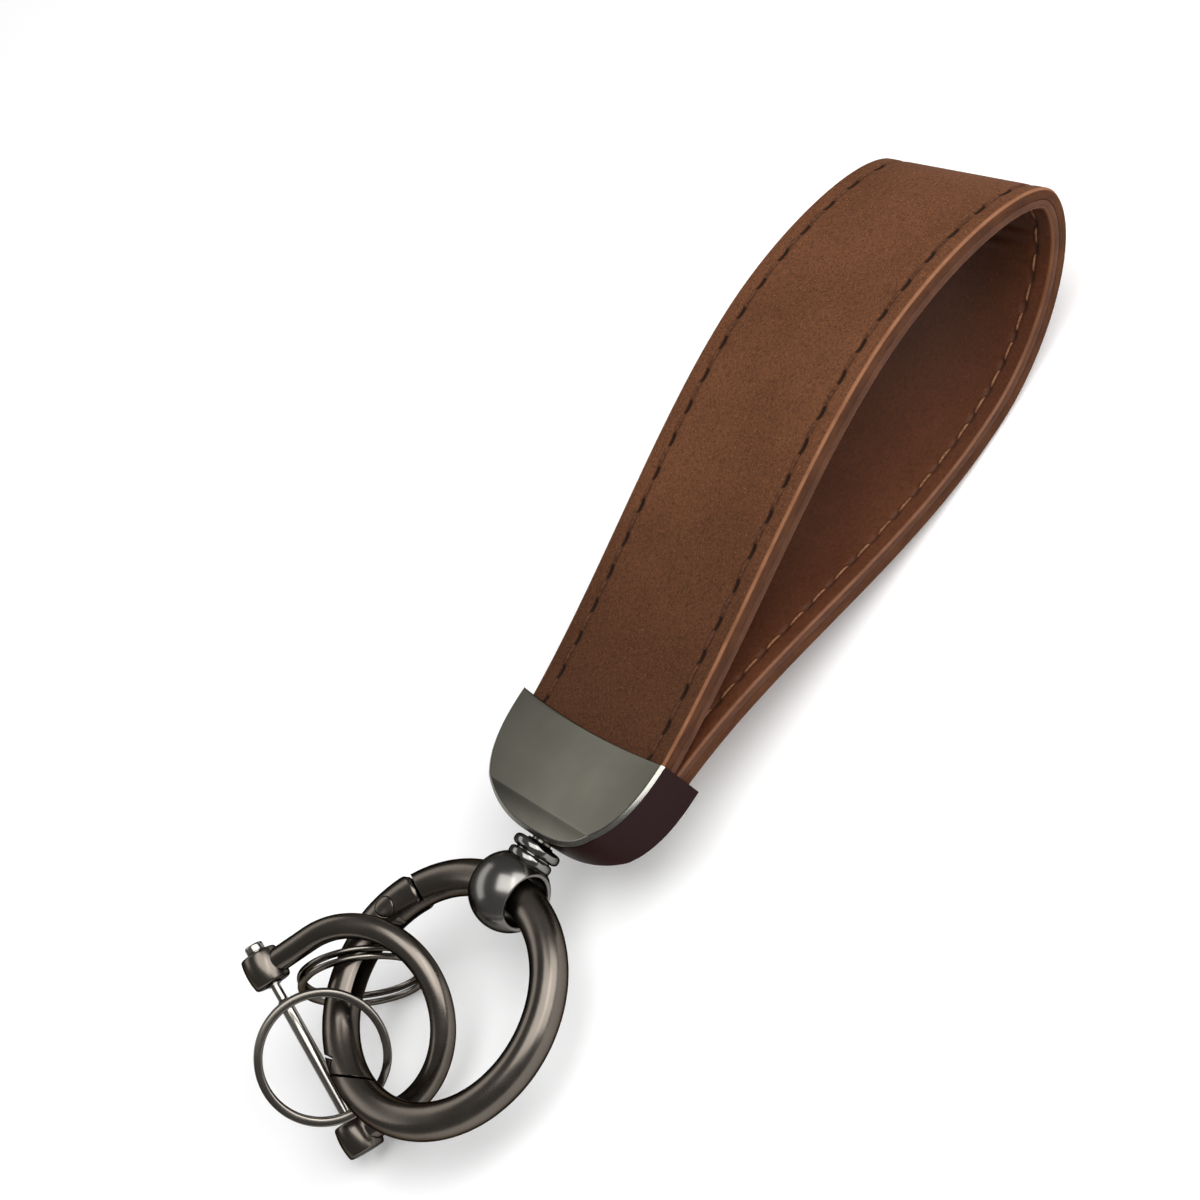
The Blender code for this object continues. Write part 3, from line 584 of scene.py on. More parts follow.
def loop_outline(steps=120):
    """The outer face seen from the side, in even steps from one end in the cap to the other."""
    low, far = MOUTH_HEIGHT, LOOP_LENGTH
    front, back = FRONT_CREST_SHARE * far, BACK_CREST_SHARE * far
    near, rear = MOUTH_HANDLE_SHARE * front, MOUTH_HANDLE_SHARE * back
    line = [np.array((-STRAP_IN_CAP * s, low)) for s in (1.0, 0.5, 0.0)]
    line += bezier([(0, low), (near, low + near * FRONT_SLOPE_SHARE),
                    (front * FRONT_HANDLE_SHARE, FRONT_RISE), (front, FRONT_RISE)], steps)
    line += bezier([(front, FRONT_RISE), (front + (far - front) * TIP_LENGTH_SHARE, FRONT_RISE),
                    (far, FRONT_RISE * TIP_RISE_SHARE), (far, 0)], steps)
    line += bezier([(far, 0), (far, -BACK_DROP * TIP_RISE_SHARE),
                    (back + (far - back) * TIP_LENGTH_SHARE, -BACK_DROP), (back, -BACK_DROP)], steps)
    line += bezier([(back, -BACK_DROP), (back * BACK_HANDLE_SHARE, -BACK_DROP),
                    (rear, -low - rear * BACK_SLOPE_SHARE), (0, -low)], steps)
    line += [np.array((-STRAP_IN_CAP * s, -low)) for s in (0.5, 1.0)]
    points = np.array([(-a, z) for a, z in line])
    runs = np.concatenate([[0], np.cumsum(np.hypot(*np.diff(points, axis=0).T))])
    even = np.arange(0, runs[-1], LOOP_STEP)
    return np.column_stack([np.interp(even, runs, points[:, k]) for k in (0, 1)]), even


LINE, RUN = loop_outline()
TIP_RUN = RUN[np.argmin(LINE[:, 0])]
STEP = np.gradient(LINE, axis=0)
STEP /= np.hypot(*STEP.T)[:, None]
INWARD = np.column_stack([-STEP[:, 1], STEP[:, 0]])


def at(run, y, depth):
    """A point of the strap: metres along it, across it and under its outer face."""
    x, z = (np.interp(run, RUN, LINE[:, k]) for k in (0, 1))
    nx, nz = (np.interp(run, RUN, INWARD[:, k]) for k in (0, 1))
    x, z = x + nx * depth, z + nz * depth
    twist = math.radians(LOOP_TWIST) * max(0.0, -x / LOOP_LENGTH) ** 2
    skewed = x * (1 + LOOP_SKEW_SHARE * y / (STRAP_WIDTH / 2)) if x < 0 else x
    return Vector((skewed, y * math.cos(twist) - z * math.sin(twist),
                   y * math.sin(twist) + z * math.cos(twist)))


def pocket_half(x):
    share = min(max(x, 0.0) / (CAP_LENGTH - CAP_WALL), 1.0)
    return (CAP_HALF_WIDTH - CAP_WALL) * (1 - share**CAP_ROUNDNESS) ** (1 / CAP_ROUNDNESS)


def dents(run, y, pitch, phase):
    """Depth of the stitch line: a shallow furrow, deep at each needle hole."""
    inset = STRAP_WIDTH / 2 - abs(y)
    across = (inset - STITCH_INSET) / FURROW_WIDTH
    furrow = math.exp(-across * across)
    place = ((run + phase * pitch) / pitch) % 1.0
    hole = math.exp(-(((place - 0.5) * pitch) / HOLE_LENGTH) ** 4)
    return furrow * (FURROW_DEPTH + HOLE_DEPTH * hole)


def creases(run, y):
    """Cross wrinkles that press into the lining inside the tight end of the loop."""
    share = (run - TIP_RUN) / CREASE_SPREAD
    wave = math.sin(2 * math.pi * run / (2.9 * MM) + 1.6 * math.sin(240 * y + 0.7))
    wave += 0.7 * math.sin(2 * math.pi * run / (1.9 * MM) + 2.1 * math.sin(170 * y - 0.4))
    fade = max(0.0, 1 - (abs(y) / (STRAP_WIDTH / 2 - STITCH_INSET)) ** 4)
    return CREASE_DEPTH * math.exp(-share * share) * fade * wave


def strap_section(thickness):
    """Y, depth and UV over of each point: the face from -Y, and round both edges underneath."""
    half, back = STRAP_WIDTH / 2, HIDDEN_CORNER
    r = min(FACE_CORNER, thickness * 0.42)
    insets = [r + 0.02 * MM, 1.0 * MM, 1.35 * MM]
    insets += [STITCH_INSET + sign * d * MM for d in (0, 0.13, 0.27, 0.42, 0.6, 0.85, 1.15)
               for sign in (-1, 1)]
    columns = [half - inset for inset in insets]
    columns += [half * share for share in (0.62, 0.5, 0.37, 0.25, 0.12)]
    ys = sorted({round(sign * c, 8) for c in columns for sign in (-1, 1)} | {0.0})
    edge = [(half - r + r * math.sin(t), r - r * math.cos(t), half - r + r * t)
            for t in (math.radians(a) for a in (15, 30, 45, 60, 75, 90))]
    edge += [(half - back + back * math.cos(t), thickness - back + back * math.sin(t),
              half + thickness - r) for t in (math.radians(a) for a in (0, 45, 90))]
    return ([(y, 0.0, abs(y)) for y in ys] + edge
            + [(-y, d, over) for y, d, over in reversed(edge)])


def strap_layer(name, look, slot, depth, thickness, face_up, pitch, phase, replaced):
    """One leather of the strap, with rounded edges and its stitch lines pressed in."""
    section = strap_section(thickness)
    rings = []
    for run, (x, _) in zip(RUN, LINE):
        limit = pocket_half(x) - GAP if x > 0 else STRAP_WIDTH / 2
        ring = []
        for y, d, _ in section:
            if d == 0.0 and x < -0.2 * MM:
                d += dents(run, y, pitch, phase) + (0.0 if face_up else creases(run, y))
            d = depth + (d if face_up else thickness - d)
            ring.append(ROOT @ at(run, max(-limit, min(limit, y)), d))
        rings.append(ring)
    bm = loft(rings)
    layer = bm.loops.layers.uv.new("strap")
    bm.verts.ensure_lookup_table()
    bm.verts.index_update()
    count = len(section)
    for face in bm.faces:
        for loop in face.loops:
            k = loop.vert.index
            loop[layer].uv = (RUN[k // count], section[k % count][2])
    add_object(name, bm, look, Matrix(), "strap", replaced, sharp=60.0, slot=slot)


def stitches(name, look, depth, outwards, pitch, phase, radius, length):
    """Two rows of thread, each stitch a short strand whose ends dip into the needle holes."""
    bm = bmesh.new()
    first = RUN[0] + STRAP_IN_CAP + STITCH_START
    last = RUN[-1] - STRAP_IN_CAP - STITCH_START
    sign, lift = -1.0 if outwards else 1.0, -0.2 * radius
    for side in (-1, 1):
        n = math.ceil(first / pitch)
        while (n + 1) * pitch < last:
            rings = []
            for i in range(9):
                s = i / 8 * 2 - 1
                low = depth + sign * (lift - STITCH_DIP * abs(s) ** 4)
                run = (n - phase) * pitch + s * length / 2
                drift = side * 0.04 * MM * math.sin(n * 2.4) + 0.03 * MM * s
                y = side * (STRAP_WIDTH / 2 - STITCH_INSET) + drift
                centre = ROOT @ at(run, y, low)
                along = (ROOT @ at(run + 0.1 * MM, y, low) - centre).normalized()
                up = ACROSS.cross(along).normalized()
                rings.append(circle(centre, ACROSS, up, radius * (1 - 0.35 * abs(s) ** 4), 10))
            add_loft(bm, rings)
            n += 1
    add_object(name, bm, look, Matrix(), "strap", sharp=60.0)


# Cap


def bucket(half_width, length, depth, steps):
    points = []
    for i in range(steps + 1):
        turn = math.pi / 2 - math.pi * i / steps
        x = length * abs(math.cos(turn)) ** (2 / CAP_ROUNDNESS)
        y = half_width * math.copysign(abs(math.sin(turn)) ** (2 / CAP_ROUNDNESS), turn)
        points.append((min(x, depth), y))
    return points


def clean(outline):
    """The outline without the points that lie on a straight line."""
    kept = []
    for i, (x, y) in enumerate(outline):
        px, py = kept[-1] if kept else outline[-1]
        qx, qy = outline[(i + 1) % len(outline)]
        turn = (x - px) * (qy - y) - (y - py) * (qx - x)
        if abs(turn) > 1e-6 * math.hypot(x - px, y - py) * CAP_LENGTH:
            kept.append((x, y))
    return kept


def edge_profile():
    """Steps inwards and upwards round the cap's edge: two small curves with a flat between them."""
    inset, height = [0.0], [0.0]

    def go(angle, length):
        inset.append(inset[-1] + length * math.cos(math.radians(angle)))
        height.append(height[-1] + length * math.sin(math.radians(angle)))

    for i in range(6):
        go(86 - 8 * i, 0.3 * MM * math.radians(8))
    go(39, 0.5 * MM)
    for i in range(5):
        go(35 - 7.5 * i, 0.35 * MM * math.radians(7.5))
    return inset, height


def cap_drop(x):
    """How far the cap's face falls away past its crease."""
    slope = CAP_CHAMFER / (CAP_LENGTH - CAP_CREASE_DEPTH)
    soft = CAP_CREASE_ROUND
    past = x - CAP_CREASE_DEPTH
    if past < -soft:
        return 0.0
    return slope * (past if past > soft else (past + soft) ** 2 / (4 * soft))


def cap_outline(inset):
    """The cap's outline at one level, from its mouth round its tip."""
    wide, long = CAP_HALF_WIDTH - inset, CAP_LENGTH - inset
    xs = [i * 0.35 * MM for i in range(-1, 33)]
    xs += [CAP_CREASE_DEPTH + d * MM for d in (-0.5, -0.25, -0.12, 0, 0.12, 0.25)]
    side = [(x, wide * (1 - max(0.0, x / long) ** CAP_ROUNDNESS) ** (1 / CAP_ROUNDNESS))
            for x in xs]
    last = side[-1][0]
    power = 2 / CAP_ROUNDNESS
    tip = [(long * math.cos(t) ** power, wide * math.sin(t) ** power)
           for t in (math.pi / 2 * i / 40 for i in range(40, 0, -1))]
    side += [(x, y) for x, y in tip if x > last + 0.1 * MM] + [(long, 0.0)]
    return side + [(x, -y) for x, y in reversed(side[:-1])]


def cap_piece(look):
    half = MOUTH_HEIGHT + GAP + CAP_WALL
    insets, heights = edge_profile()
    levels = [(half - heights[-1] + height, inset) for inset, height in zip(insets, heights)]
    levels = [(-z, inset) for z, inset in reversed(levels)] + levels
    bm = bmesh.new()
    rows = skin(bm, [[Vector((x, y, z * (1 - cap_drop(x) / half))) for x, y in cap_outline(inset)]
                     for z, inset in levels])
    count, middle = len(rows[0]), len(rows[0]) // 2
    for row in (rows[0], rows[-1]):
        for i in range(middle - 1):
            bm.faces.new((row[i], row[i + 1], row[count - 2 - i], row[count - 1 - i]))
        bm.faces.new((row[middle - 1], row[middle], row[middle + 1]))
    inner, inside = half - CAP_WALL, CAP_HALF_WIDTH - CAP_WALL
    pocket = bucket(inside, CAP_LENGTH - CAP_WALL, CAP_POCKET_DEPTH, 120)
    mouth = [(-CAP_WALL, -inside), (-CAP_WALL, inside)]
    radius = (CAP_HALF_WIDTH**2 + CAP_MOUTH_SAG**2) / (2 * CAP_MOUTH_SAG)
    spread = math.degrees(math.asin(CAP_HALF_WIDTH / radius)) * 1.2
    arc = [polar((CAP_MOUTH_SAG - radius, 0), radius, spread * (2 * i / 60 - 1)) for i in range(61)]
    arc += [(-2 * CAP_WALL, arc[-1][1]), (-2 * CAP_WALL, arc[0][1])]
    hole = turned([(CAP_POCKET_DEPTH - CAP_WALL, PIN_RADIUS + GAP),
                   (CAP_LENGTH + CAP_WALL, PIN_RADIUS + GAP)], 48)
    out = carved(bm, [prism(arc, -2 * half, 2 * half), prism(clean(pocket + mouth), -inner, inner),
                      hole])
    bmesh.ops.remove_doubles(out, verts=out.verts, dist=0.004 * MM)
    rim = []
    for edge in out.edges:
        off = [math.hypot(v.co.x - CAP_MOUTH_SAG + radius, v.co.y) - radius for v in edge.verts]
        on_arc = all(abs(distance) < ON_SURFACE for distance in off)
        if on_arc and len(edge.link_faces) == 2 and edge.calc_face_angle(0.0) > 0.9:
            rim.append(edge)
    bmesh.ops.bevel(out, geom=rim, offset=CAP_MOUTH_ROUND, segments=2, affect="EDGES", profile=0.5,
                    clamp_overlap=False)
    add_object("cap", out, look, ROOT, "strap", "cap_shell", sharp=40.0, slot="cap_gunmetal")


# Swivel


def bead(radius, bore, lip, sides=120):
    """A round bead with a rounded hole along Y, as one closed ring of sections."""
    edge = math.sqrt((radius - lip) ** 2 - (bore + lip) ** 2)
    from_axis = math.atan2(bore + lip, edge)
    section = [(radius * math.sin(t), radius * math.cos(t))
               for t in (from_axis + (math.pi - 2 * from_axis) * i / 40 for i in range(41))]
    round_end = [(bore + lip + lip * math.sin(t), -edge - lip * math.cos(t))
                 for t in (from_axis - (from_axis + math.pi / 2) * i / 8 for i in range(1, 9))]
    section += round_end + [(r, -y) for r, y in reversed(round_end)]
    turns = [2 * math.pi * i / sides for i in range(sides)]
    bm = bmesh.new()
    skin(bm, [[(r * math.cos(t), y, r * math.sin(t)) for r, y in section] for t in turns],
         closed=True)
    return bm


def neck_profile(start):
    """The neck from the cap to inside the ball, as pairs of place and radius."""
    profile = [(start, PIN_RADIUS + 0.4 * MM), (start + 0.2 * MM, PIN_RADIUS + 0.5 * MM)]
    place = start + 0.22 * MM
    for long, low, high in NECK_COLLARS:
        for i in range(21):
            t = math.pi * i / 20
            bulge = math.copysign(abs(math.cos(t)) ** 0.8, math.cos(t))
            profile.append((place + long / 2 * (1 - bulge), low + (high - low) * math.sin(t) ** 0.8))
        place += long
    profile += [(place + 0.02 * MM, 2.2 * MM), (place + 0.9 * MM, 2.1 * MM)]
    kept = [profile[0]]
    for x, radius in profile[1:]:
        if x > kept[-1][0] + 1e-6 * MM or abs(radius - kept[-1][1]) > 0.02 * MM:
            kept.append((max(x, kept[-1][0] + 1e-6 * MM), radius))
    return kept


def ball_piece(look):
    start = CAP_LENGTH + GAP - BALL_CENTRE
    bore = turned([(start - GAP, PIN_RADIUS + GAP),
                   (-BALL_HOLE_RADIUS - CAP_WALL, PIN_RADIUS + GAP)], 48)
    out = carved(bead(BALL_RADIUS, BALL_HOLE_RADIUS, BALL_HOLE_LIP), [bore],
                 [turned(neck_profile(start), 96)])

    def surface(points):
        away = np.linalg.norm(points, axis=1)
        return points / away[:, None], np.abs(away - BALL_RADIUS)

    add_object("ball", out, look, SWIVEL, "swivel", "swivel_ball", sharp=50.0,
               slot="ring_gunmetal", surface=surface)


# Gate ring: the hinge's pivot, and the lap joint seen from it

PIVOT = polar((0, 0), RING_RADIUS - HINGE_INSET, HINGE_ANGLE)
LAP = polar((0, 0), RING_RADIUS, LAP_ANGLE)
LAP_REACH = math.dist(PIVOT, LAP)
LAP_TURN = math.degrees(math.atan2(LAP[1] - PIVOT[1], LAP[0] - PIVOT[0]))
LAP_LEDGE_TURN = LAP_TURN - math.degrees(LAP_LEDGE / LAP_REACH)
WEB_RADIUS = RING_RADIUS + WIRE_RADIUS - SLOT_WEB
TAIL_ANGLE = HINGE_ANGLE - math.degrees(HINGE_REACH / RING_RADIUS)
TALL = 2 * WIRE_RADIUS


def ear_swell(angle):
    """How far the gate's wire swells towards its hinge."""
    start, length = EAR_SWELL_ANGLES
    share = min(1.0, max(0.0, (HINGE_ANGLE + start - angle) / length))
    return EAR_SWELL * share * share * (3 - 2 * share)


def arc_tube(start, end, steps, swell=None, sides=48):
    rings = []
    for i in range(steps + 1):
        angle = start + (end - start) * i / steps
        x, y = polar((0, 0), RING_RADIUS, angle)
        out = Vector(polar((0, 0), 1.0, angle)).to_3d()
        radius = WIRE_RADIUS + (swell(angle) if swell else 0.0)
        rings.append(circle(Vector((x, y, 0)), out, UPWARDS, radius, sides))
    return loft(rings)


def ring_surface(swollen):
    """The wire's normals, and how far each point is from its surface."""
    def surface(points):
        away = np.hypot(points[:, 0], points[:, 1])
        offset = points.copy()
        offset[:, :2] *= (1 - RING_RADIUS / away)[:, None]
        length = np.linalg.norm(offset, axis=1)
        angles = np.degrees(np.arctan2(points[:, 1], points[:, 0]))
        extra = np.array([ear_swell(angle) for angle in angles]) if swollen else 0.0
        return offset / np.maximum(length, 1e-9)[:, None], np.abs(length - WIRE_RADIUS - extra)
    return surface


def outer_lens(reach, limit, steps=32):
    """The part of a disc about the pivot that lies outside a circle about the ring's centre."""
    away = math.hypot(*PIVOT)
    swing = math.degrees(math.acos((limit**2 - away**2 - reach**2) / (2 * away * reach)))
    spread = math.degrees(math.acos((limit**2 + away**2 - reach**2) / (2 * away * limit)))
    shares = [i / steps for i in range(steps + 1)]
    far = [polar(PIVOT, reach, HINGE_ANGLE - swing + 2 * swing * share) for share in shares]
    return far + [polar((0, 0), limit, HINGE_ANGLE + spread - 2 * spread * share)
                  for share in shares[1:-1]]


def ring_piece(look):
    start = LAP_ANGLE - math.degrees(1.6 * WIRE_RADIUS / RING_RADIUS)
    end = 360 + HINGE_ANGLE + math.degrees(TONGUE_RADIUS / RING_RADIUS)
    wide = math.degrees(3 * WIRE_RADIUS / LAP_REACH)
    cheek, half = HINGE_REACH + GAP, TONGUE_THICKNESS / 2
    outlines = [sector(PIVOT, LAP_REACH - 3 * WIRE_RADIUS, LAP_REACH, LAP_TURN - wide,
                       LAP_TURN + wide),
                sector(PIVOT, LAP_REACH - WIRE_RADIUS, LAP_REACH + LAP_STEP, LAP_LEDGE_TURN,
                       LAP_TURN + wide)]
    cutters = [prism(outline, -TALL, TALL) for outline in outlines]
    cutters += [prism(disc(PIVOT, cheek), low, high) for low, high in ((half, TALL), (-TALL, -half))]
    outlines = [sector(PIVOT, TONGUE_RADIUS, cheek + TONGUE_RADIUS, HINGE_ANGLE - 15,
                       HINGE_ANGLE + 195),
                outer_lens(cheek, WEB_RADIUS - GAP), disc(PIVOT, RIVET_RADIUS + GAP)]
    cutters += [prism(outline, -TALL, TALL) for outline in outlines]
    out = carved(arc_tube(start, end, 200), cutters, round_off=RING_EDGE_ROUND)
    add_object("ring", out, look, RING, "gate_ring", "ring_body", sharp=40.0,
               slot="ring_gunmetal", surface=ring_surface(False))


def curl_tail(bm):
    """Draw the wire in towards its tail, in a quarter of an ellipse."""
    for vert in bm.verts:
        x, y, z = vert.co
        if math.degrees(math.atan2(y, x)) < HINGE_ANGLE:
            past = math.hypot(x - PIVOT[0], y - PIVOT[1]) - HINGE_REACH + TAIL_CURL
            share = min(1.0, max(0.0, past / TAIL_CURL))
            away = math.hypot(x, y)
            deep = math.hypot(away - RING_RADIUS, z)
            keep = 1 - TAIL_CURL * (1 - math.sqrt(1 - share * share)) / deep
            in_plane = (RING_RADIUS + (away - RING_RADIUS) * keep) / away
            vert.co = (x * in_plane, y * in_plane, z * keep)


def gate_piece(look):
    start = TAIL_ANGLE - math.degrees(WIRE_RADIUS / RING_RADIUS)
    end = LAP_ANGLE + math.degrees(2.6 * WIRE_RADIUS / RING_RADIUS)
    wide = math.degrees(3.2 * WIRE_RADIUS / LAP_REACH)
    half = TONGUE_THICKNESS / 2 + GAP
    beyond = LAP_REACH + 3 * WIRE_RADIUS
    outlines = [sector(PIVOT, LAP_REACH - GAP, beyond, LAP_TURN - wide,
                       LAP_LEDGE_TURN + math.degrees(GAP / LAP_REACH)),
                sector(PIVOT, LAP_REACH + LAP_STEP - GAP, beyond, LAP_TURN - wide, LAP_TURN + wide),
                sector(PIVOT, HINGE_REACH, HINGE_REACH + TALL, HINGE_ANGLE - 150, HINGE_ANGLE - 40),
                disc(PIVOT, RIVET_HEAD_RADIUS + 0.09 * MM)]
    slot = sector((0, 0), RING_RADIUS - TALL, WEB_RADIUS, TAIL_ANGLE - 20, SLOT_END_ANGLE)
    cutters = [prism(outline, -TALL, TALL) for outline in outlines] + [prism(slot, -half, half)]
    blank = arc_tube(start, end, 260, ear_swell)
    curl_tail(blank)
    out = carved(blank, cutters, round_off=GATE_EDGE_ROUND)
    add_object("gate", out, look, RING, "gate", "ring_gate", sharp=40.0, slot="ring_gunmetal",
               surface=ring_surface(True))


def rivet_piece(look):
    """A rivet whose heads are ground flush with the ears, inside a thin rim line."""
    seat = TONGUE_THICKNESS / 2 + GAP + 0.1 * MM
    face = WIRE_RADIUS + EAR_SWELL + RIVET_HEAD_RISE

    def top(x, y):
        out = math.hypot(x, y) - RING_RADIUS
        return math.sqrt(face**2 - out * out)

    def ring(radius, drop=None):
        """At a drop below the face, or else at the seat."""
        turns = [2 * math.pi * i / 48 for i in range(48)]
        spots = [(PIVOT[0] + radius * math.cos(t), PIVOT[1] + radius * math.sin(t)) for t in turns]
        return [Vector((x, y, seat if drop is None else top(x, y) - drop)) for x, y in spots]

    heads = [ring(RIVET_HEAD_RADIUS * share, 0.0) for share in (0.2, 0.45, 0.7)]
    for t in (math.pi / 2 * i / 5 for i in range(6)):
        heads.append(ring(RIVET_HEAD_RADIUS - RIVET_HEAD_ROUND * (1 - math.sin(t)),
                          RIVET_HEAD_ROUND * (1 - math.cos(t))))
    heads += [ring(RIVET_HEAD_RADIUS), ring(RIVET_RADIUS)]
    below = [[Vector((p.x, p.y, -p.z)) for p in row] for row in reversed(heads)]
    add_object("rivet", loft(heads + below), look, RING, "gate_ring", "gate_rivet", sharp=45.0,
               slot="ring_gunmetal")


# Shackle


def on_ring(degrees, out, lift, turn):
    x, y = polar((0, 0), RING_RADIUS + out, degrees)
    about = Euler([math.radians(t) for t in turn], "XYZ").to_matrix().to_4x4()
    return (RING @ Matrix.Translation((x, y, lift))
            @ Matrix.Rotation(math.radians(degrees), 4, "Z") @ about)


def bow_path():
    line = [Vector((-BOW_RADIUS, BOW_LEG * i / 3, 0)) for i in range(3)]
    for i in range(91):
        turn = math.pi * (1 - i / 90)
        line.append(Vector((BOW_RADIUS * math.cos(turn), BOW_LEG + BOW_RADIUS * math.sin(turn), 0)))
    return line + [Vector((BOW_RADIUS, BOW_LEG * i / 3, 0)) for i in (2, 1, 0)]


def tube(line, radius, sides):
    rings = []
    for i, point in enumerate(line):
        along = (line[min(i + 1, len(line) - 1)] - line[max(i - 1, 0)]).normalized()
        rings.append(circle(point, along.cross(UPWARDS), UPWARDS, radius, sides))
    return loft(rings)


def boss(place):
    """A barrel shaped boss with rounded ends."""
    half, curl = BOSS_LENGTH / 2, BOSS_ROUND
    ends = [(-half + curl * (1 - math.sin(t)), curl * (1 - math.cos(t)))
            for t in (math.pi / 2 * (1 - i / 6) for i in range(7))]
    inner = [(-half + curl + (BOSS_LENGTH - 2 * curl) * i / 20, 0.0) for i in range(1, 20)]
    profile = [(-half, BOSS_RADIUS * 0.5)]
    for x, drop in ends + inner + [(-x, d) for x, d in ends[::-1]]:
        profile.append((x, math.sqrt(BOSS_RADIUS**2 - (x * 0.55) ** 2) - drop))
    profile.append((half, BOSS_RADIUS * 0.5))
    return turned([(place + x, radius) for x, radius in profile], 64)


def bow_surface(points):
    """The bow wire's normals, and how far each point is from its surface."""
    offset = points.copy()
    bent = points[:, 1] > BOW_LEG
    away = np.hypot(points[:, 0], points[:, 1] - BOW_LEG)
    offset[~bent, 1] = 0.0
    offset[~bent, 0] -= np.sign(points[~bent, 0]) * BOW_RADIUS
    offset[bent, 1] -= BOW_LEG
    offset[bent, :2] *= (1 - BOW_RADIUS / away[bent])[:, None]
    length = np.linalg.norm(offset, axis=1)
    return offset / np.maximum(length, 1e-9)[:, None], np.abs(length - BOW_WIRE_RADIUS)


def bow_piece(look):
    bore = turned([(-BOW_RADIUS - BOSS_LENGTH, BOLT_RADIUS + GAP),
                   (BOW_RADIUS + BOLT_DEPTH_SHARE * BOSS_LENGTH, BOLT_RADIUS + GAP)], 40)
    out = carved(tube(bow_path(), BOW_WIRE_RADIUS, 40), [bore],
                 [boss(-BOW_RADIUS), boss(BOW_RADIUS)])
    add_object("bow", out, look, on_ring(*SHACKLE_PLACE), "shackle", "shackle_bow", sharp=40.0,
               slot="ring_gunmetal", surface=bow_surface)


def bolt_piece(look):
    seat = -BOW_RADIUS - BOSS_LENGTH / 2 - GAP
    head = seat - BOLT_HEAD_THICKNESS
    neck = -BOW_RADIUS + BOSS_LENGTH / 2 + GAP
    threaded = neck + BOLT_NECK_LENGTH
    tip = BOW_RADIUS + BOLT_DEPTH_SHARE * BOSS_LENGTH - GAP
    profile = [(head, BOLT_HEAD_RADIUS * share) for share in (0.3, 0.72)]
    profile += [(head + BOLT_ROUND * (1 - math.cos(t)), BOLT_HEAD_RADIUS * (0.8 + 0.2 * math.sin(t)))
                for t in (math.pi / 2 * i / 5 for i in range(1, 6))]
    profile += [(seat, BOLT_HEAD_RADIUS), (seat, BOLT_RADIUS), (neck, BOLT_RADIUS),
                (neck, BOLT_NECK_RADIUS), (threaded, BOLT_NECK_RADIUS),
                (threaded + BOLT_ROUND, BOLT_THREAD_RADIUS), (tip - BOLT_ROUND, BOLT_THREAD_RADIUS),
                (tip, BOLT_RADIUS * 0.7)]
    wide, long = BOLT_SLOT_WIDTH / 2, 2 * BOLT_HEAD_RADIUS
    low, high = head - BOLT_SLOT_DEPTH, head + BOLT_SLOT_DEPTH
    slot = [(low, -long), (high, -long), (high, long), (low, long)]
    out = carved(turned(profile, 40), [prism(slot, -wide, wide)])
    add_object("bolt", out, look, on_ring(*SHACKLE_PLACE), "shackle_screw", "shackle_pin",
               sharp=35.0, slot="wire_gunmetal")


# Split rings


def split_piece(side, look):
    degrees, out, lift, (rx, ry, spin) = SPLIT_PLACES[side]
    end = 720 - 2 * SPLIT_TIP_ANGLE - SPLIT_RAMP_ANGLE
    ramp_start = 360 - SPLIT_TIP_ANGLE - SPLIT_RAMP_ANGLE
    wide, thick = SPLIT_WIRE_WIDTH / 2, SPLIT_WIRE_THICKNESS / 2
    rings = []
    count = 260
    for i in range(count + 1):
        angle = end * i / count
        share = min(1.0, max(0.0, (angle - ramp_start) / SPLIT_RAMP_ANGLE))
        rise = SPLIT_PITCH * (share * share * (3 - 2 * share) - 0.5)
        x, y = polar((0, 0), SPLIT_RADIUS, angle)
        away = Vector(polar((0, 0), 1.0, angle)).to_3d()
        blunt = min(1.0, 0.55 + 0.45 * min(i, count - i) / 2)
        section = []
        for t in (2 * math.pi * k / 20 for k in range(20)):
            a = math.copysign(abs(math.cos(t)) ** 0.55, math.cos(t))
            b = math.copysign(abs(math.sin(t)) ** 0.7, math.sin(t))
            section.append(Vector((x, y, rise)) + away * wide * a * blunt
                           + Vector((0, 0, thick * b * blunt)))
        rings.append(section)
    place = (on_ring(degrees, out, lift, (rx, ry, 0))
             @ Matrix.Rotation(math.radians(spin), 4, "Z"))
    add_object("split_" + side, loft(rings), look, place, side + "_split_ring",
               "split_ring_" + side, sharp=60.0, slot="wire_gunmetal")


# Looks and pieces

outer_leather = leather(
    "outer_leather", lit=(0.138, 0.054, 0.024), dim=(0.1, 0.038, 0.017), roughness=0.86,
    gloss=0.12, ridge_light=(0.24, 0.105, 0.052), side_tone=(0.074, 0.028, 0.013),
    speck_scale=2300.0, speck_gain=0.66, stitch=OUTER_STITCH, slit_shade=(2.1 * MM, 0.95))
lining_leather = leather(
    "lining_leather", lit=(0.105, 0.036, 0.016), dim=(0.075, 0.024, 0.0105), roughness=0.5,
    gloss=0.13, ridge_light=(0.15, 0.062, 0.03), side_tone=(0.08, 0.031, 0.015),
    speck_scale=1600.0, speck_gain=0.25, stitch=LINING_STITCH, slit_shade=(1.5 * MM, 0.35), wrinkle=1.2)
thread_tan = thread("thread_tan", (0.1, 0.04, 0.019), (0.05, 0.019, 0.009))
thread_rust = thread("thread_rust", (0.26, 0.12, 0.06), (0.14, 0.06, 0.03))
# The cap's side colour is a painted dark reflection on its side faces.
cap_metal = metal("cap_metal", (0.124, 0.119, 0.097), 0.34, (0.5, 0.48, 0.46),
                  side=(0.028, 0.0155, 0.0165))
ring_metal = metal("ring_metal", (0.132, 0.115, 0.098), 0.265, (0.055, 0.05, 0.045))
ball_metal = metal("ball_metal", (0.175, 0.168, 0.157), 0.225, (0.07, 0.065, 0.06),
                   bright_past=BALL_RADIUS + 0.02 * MM)
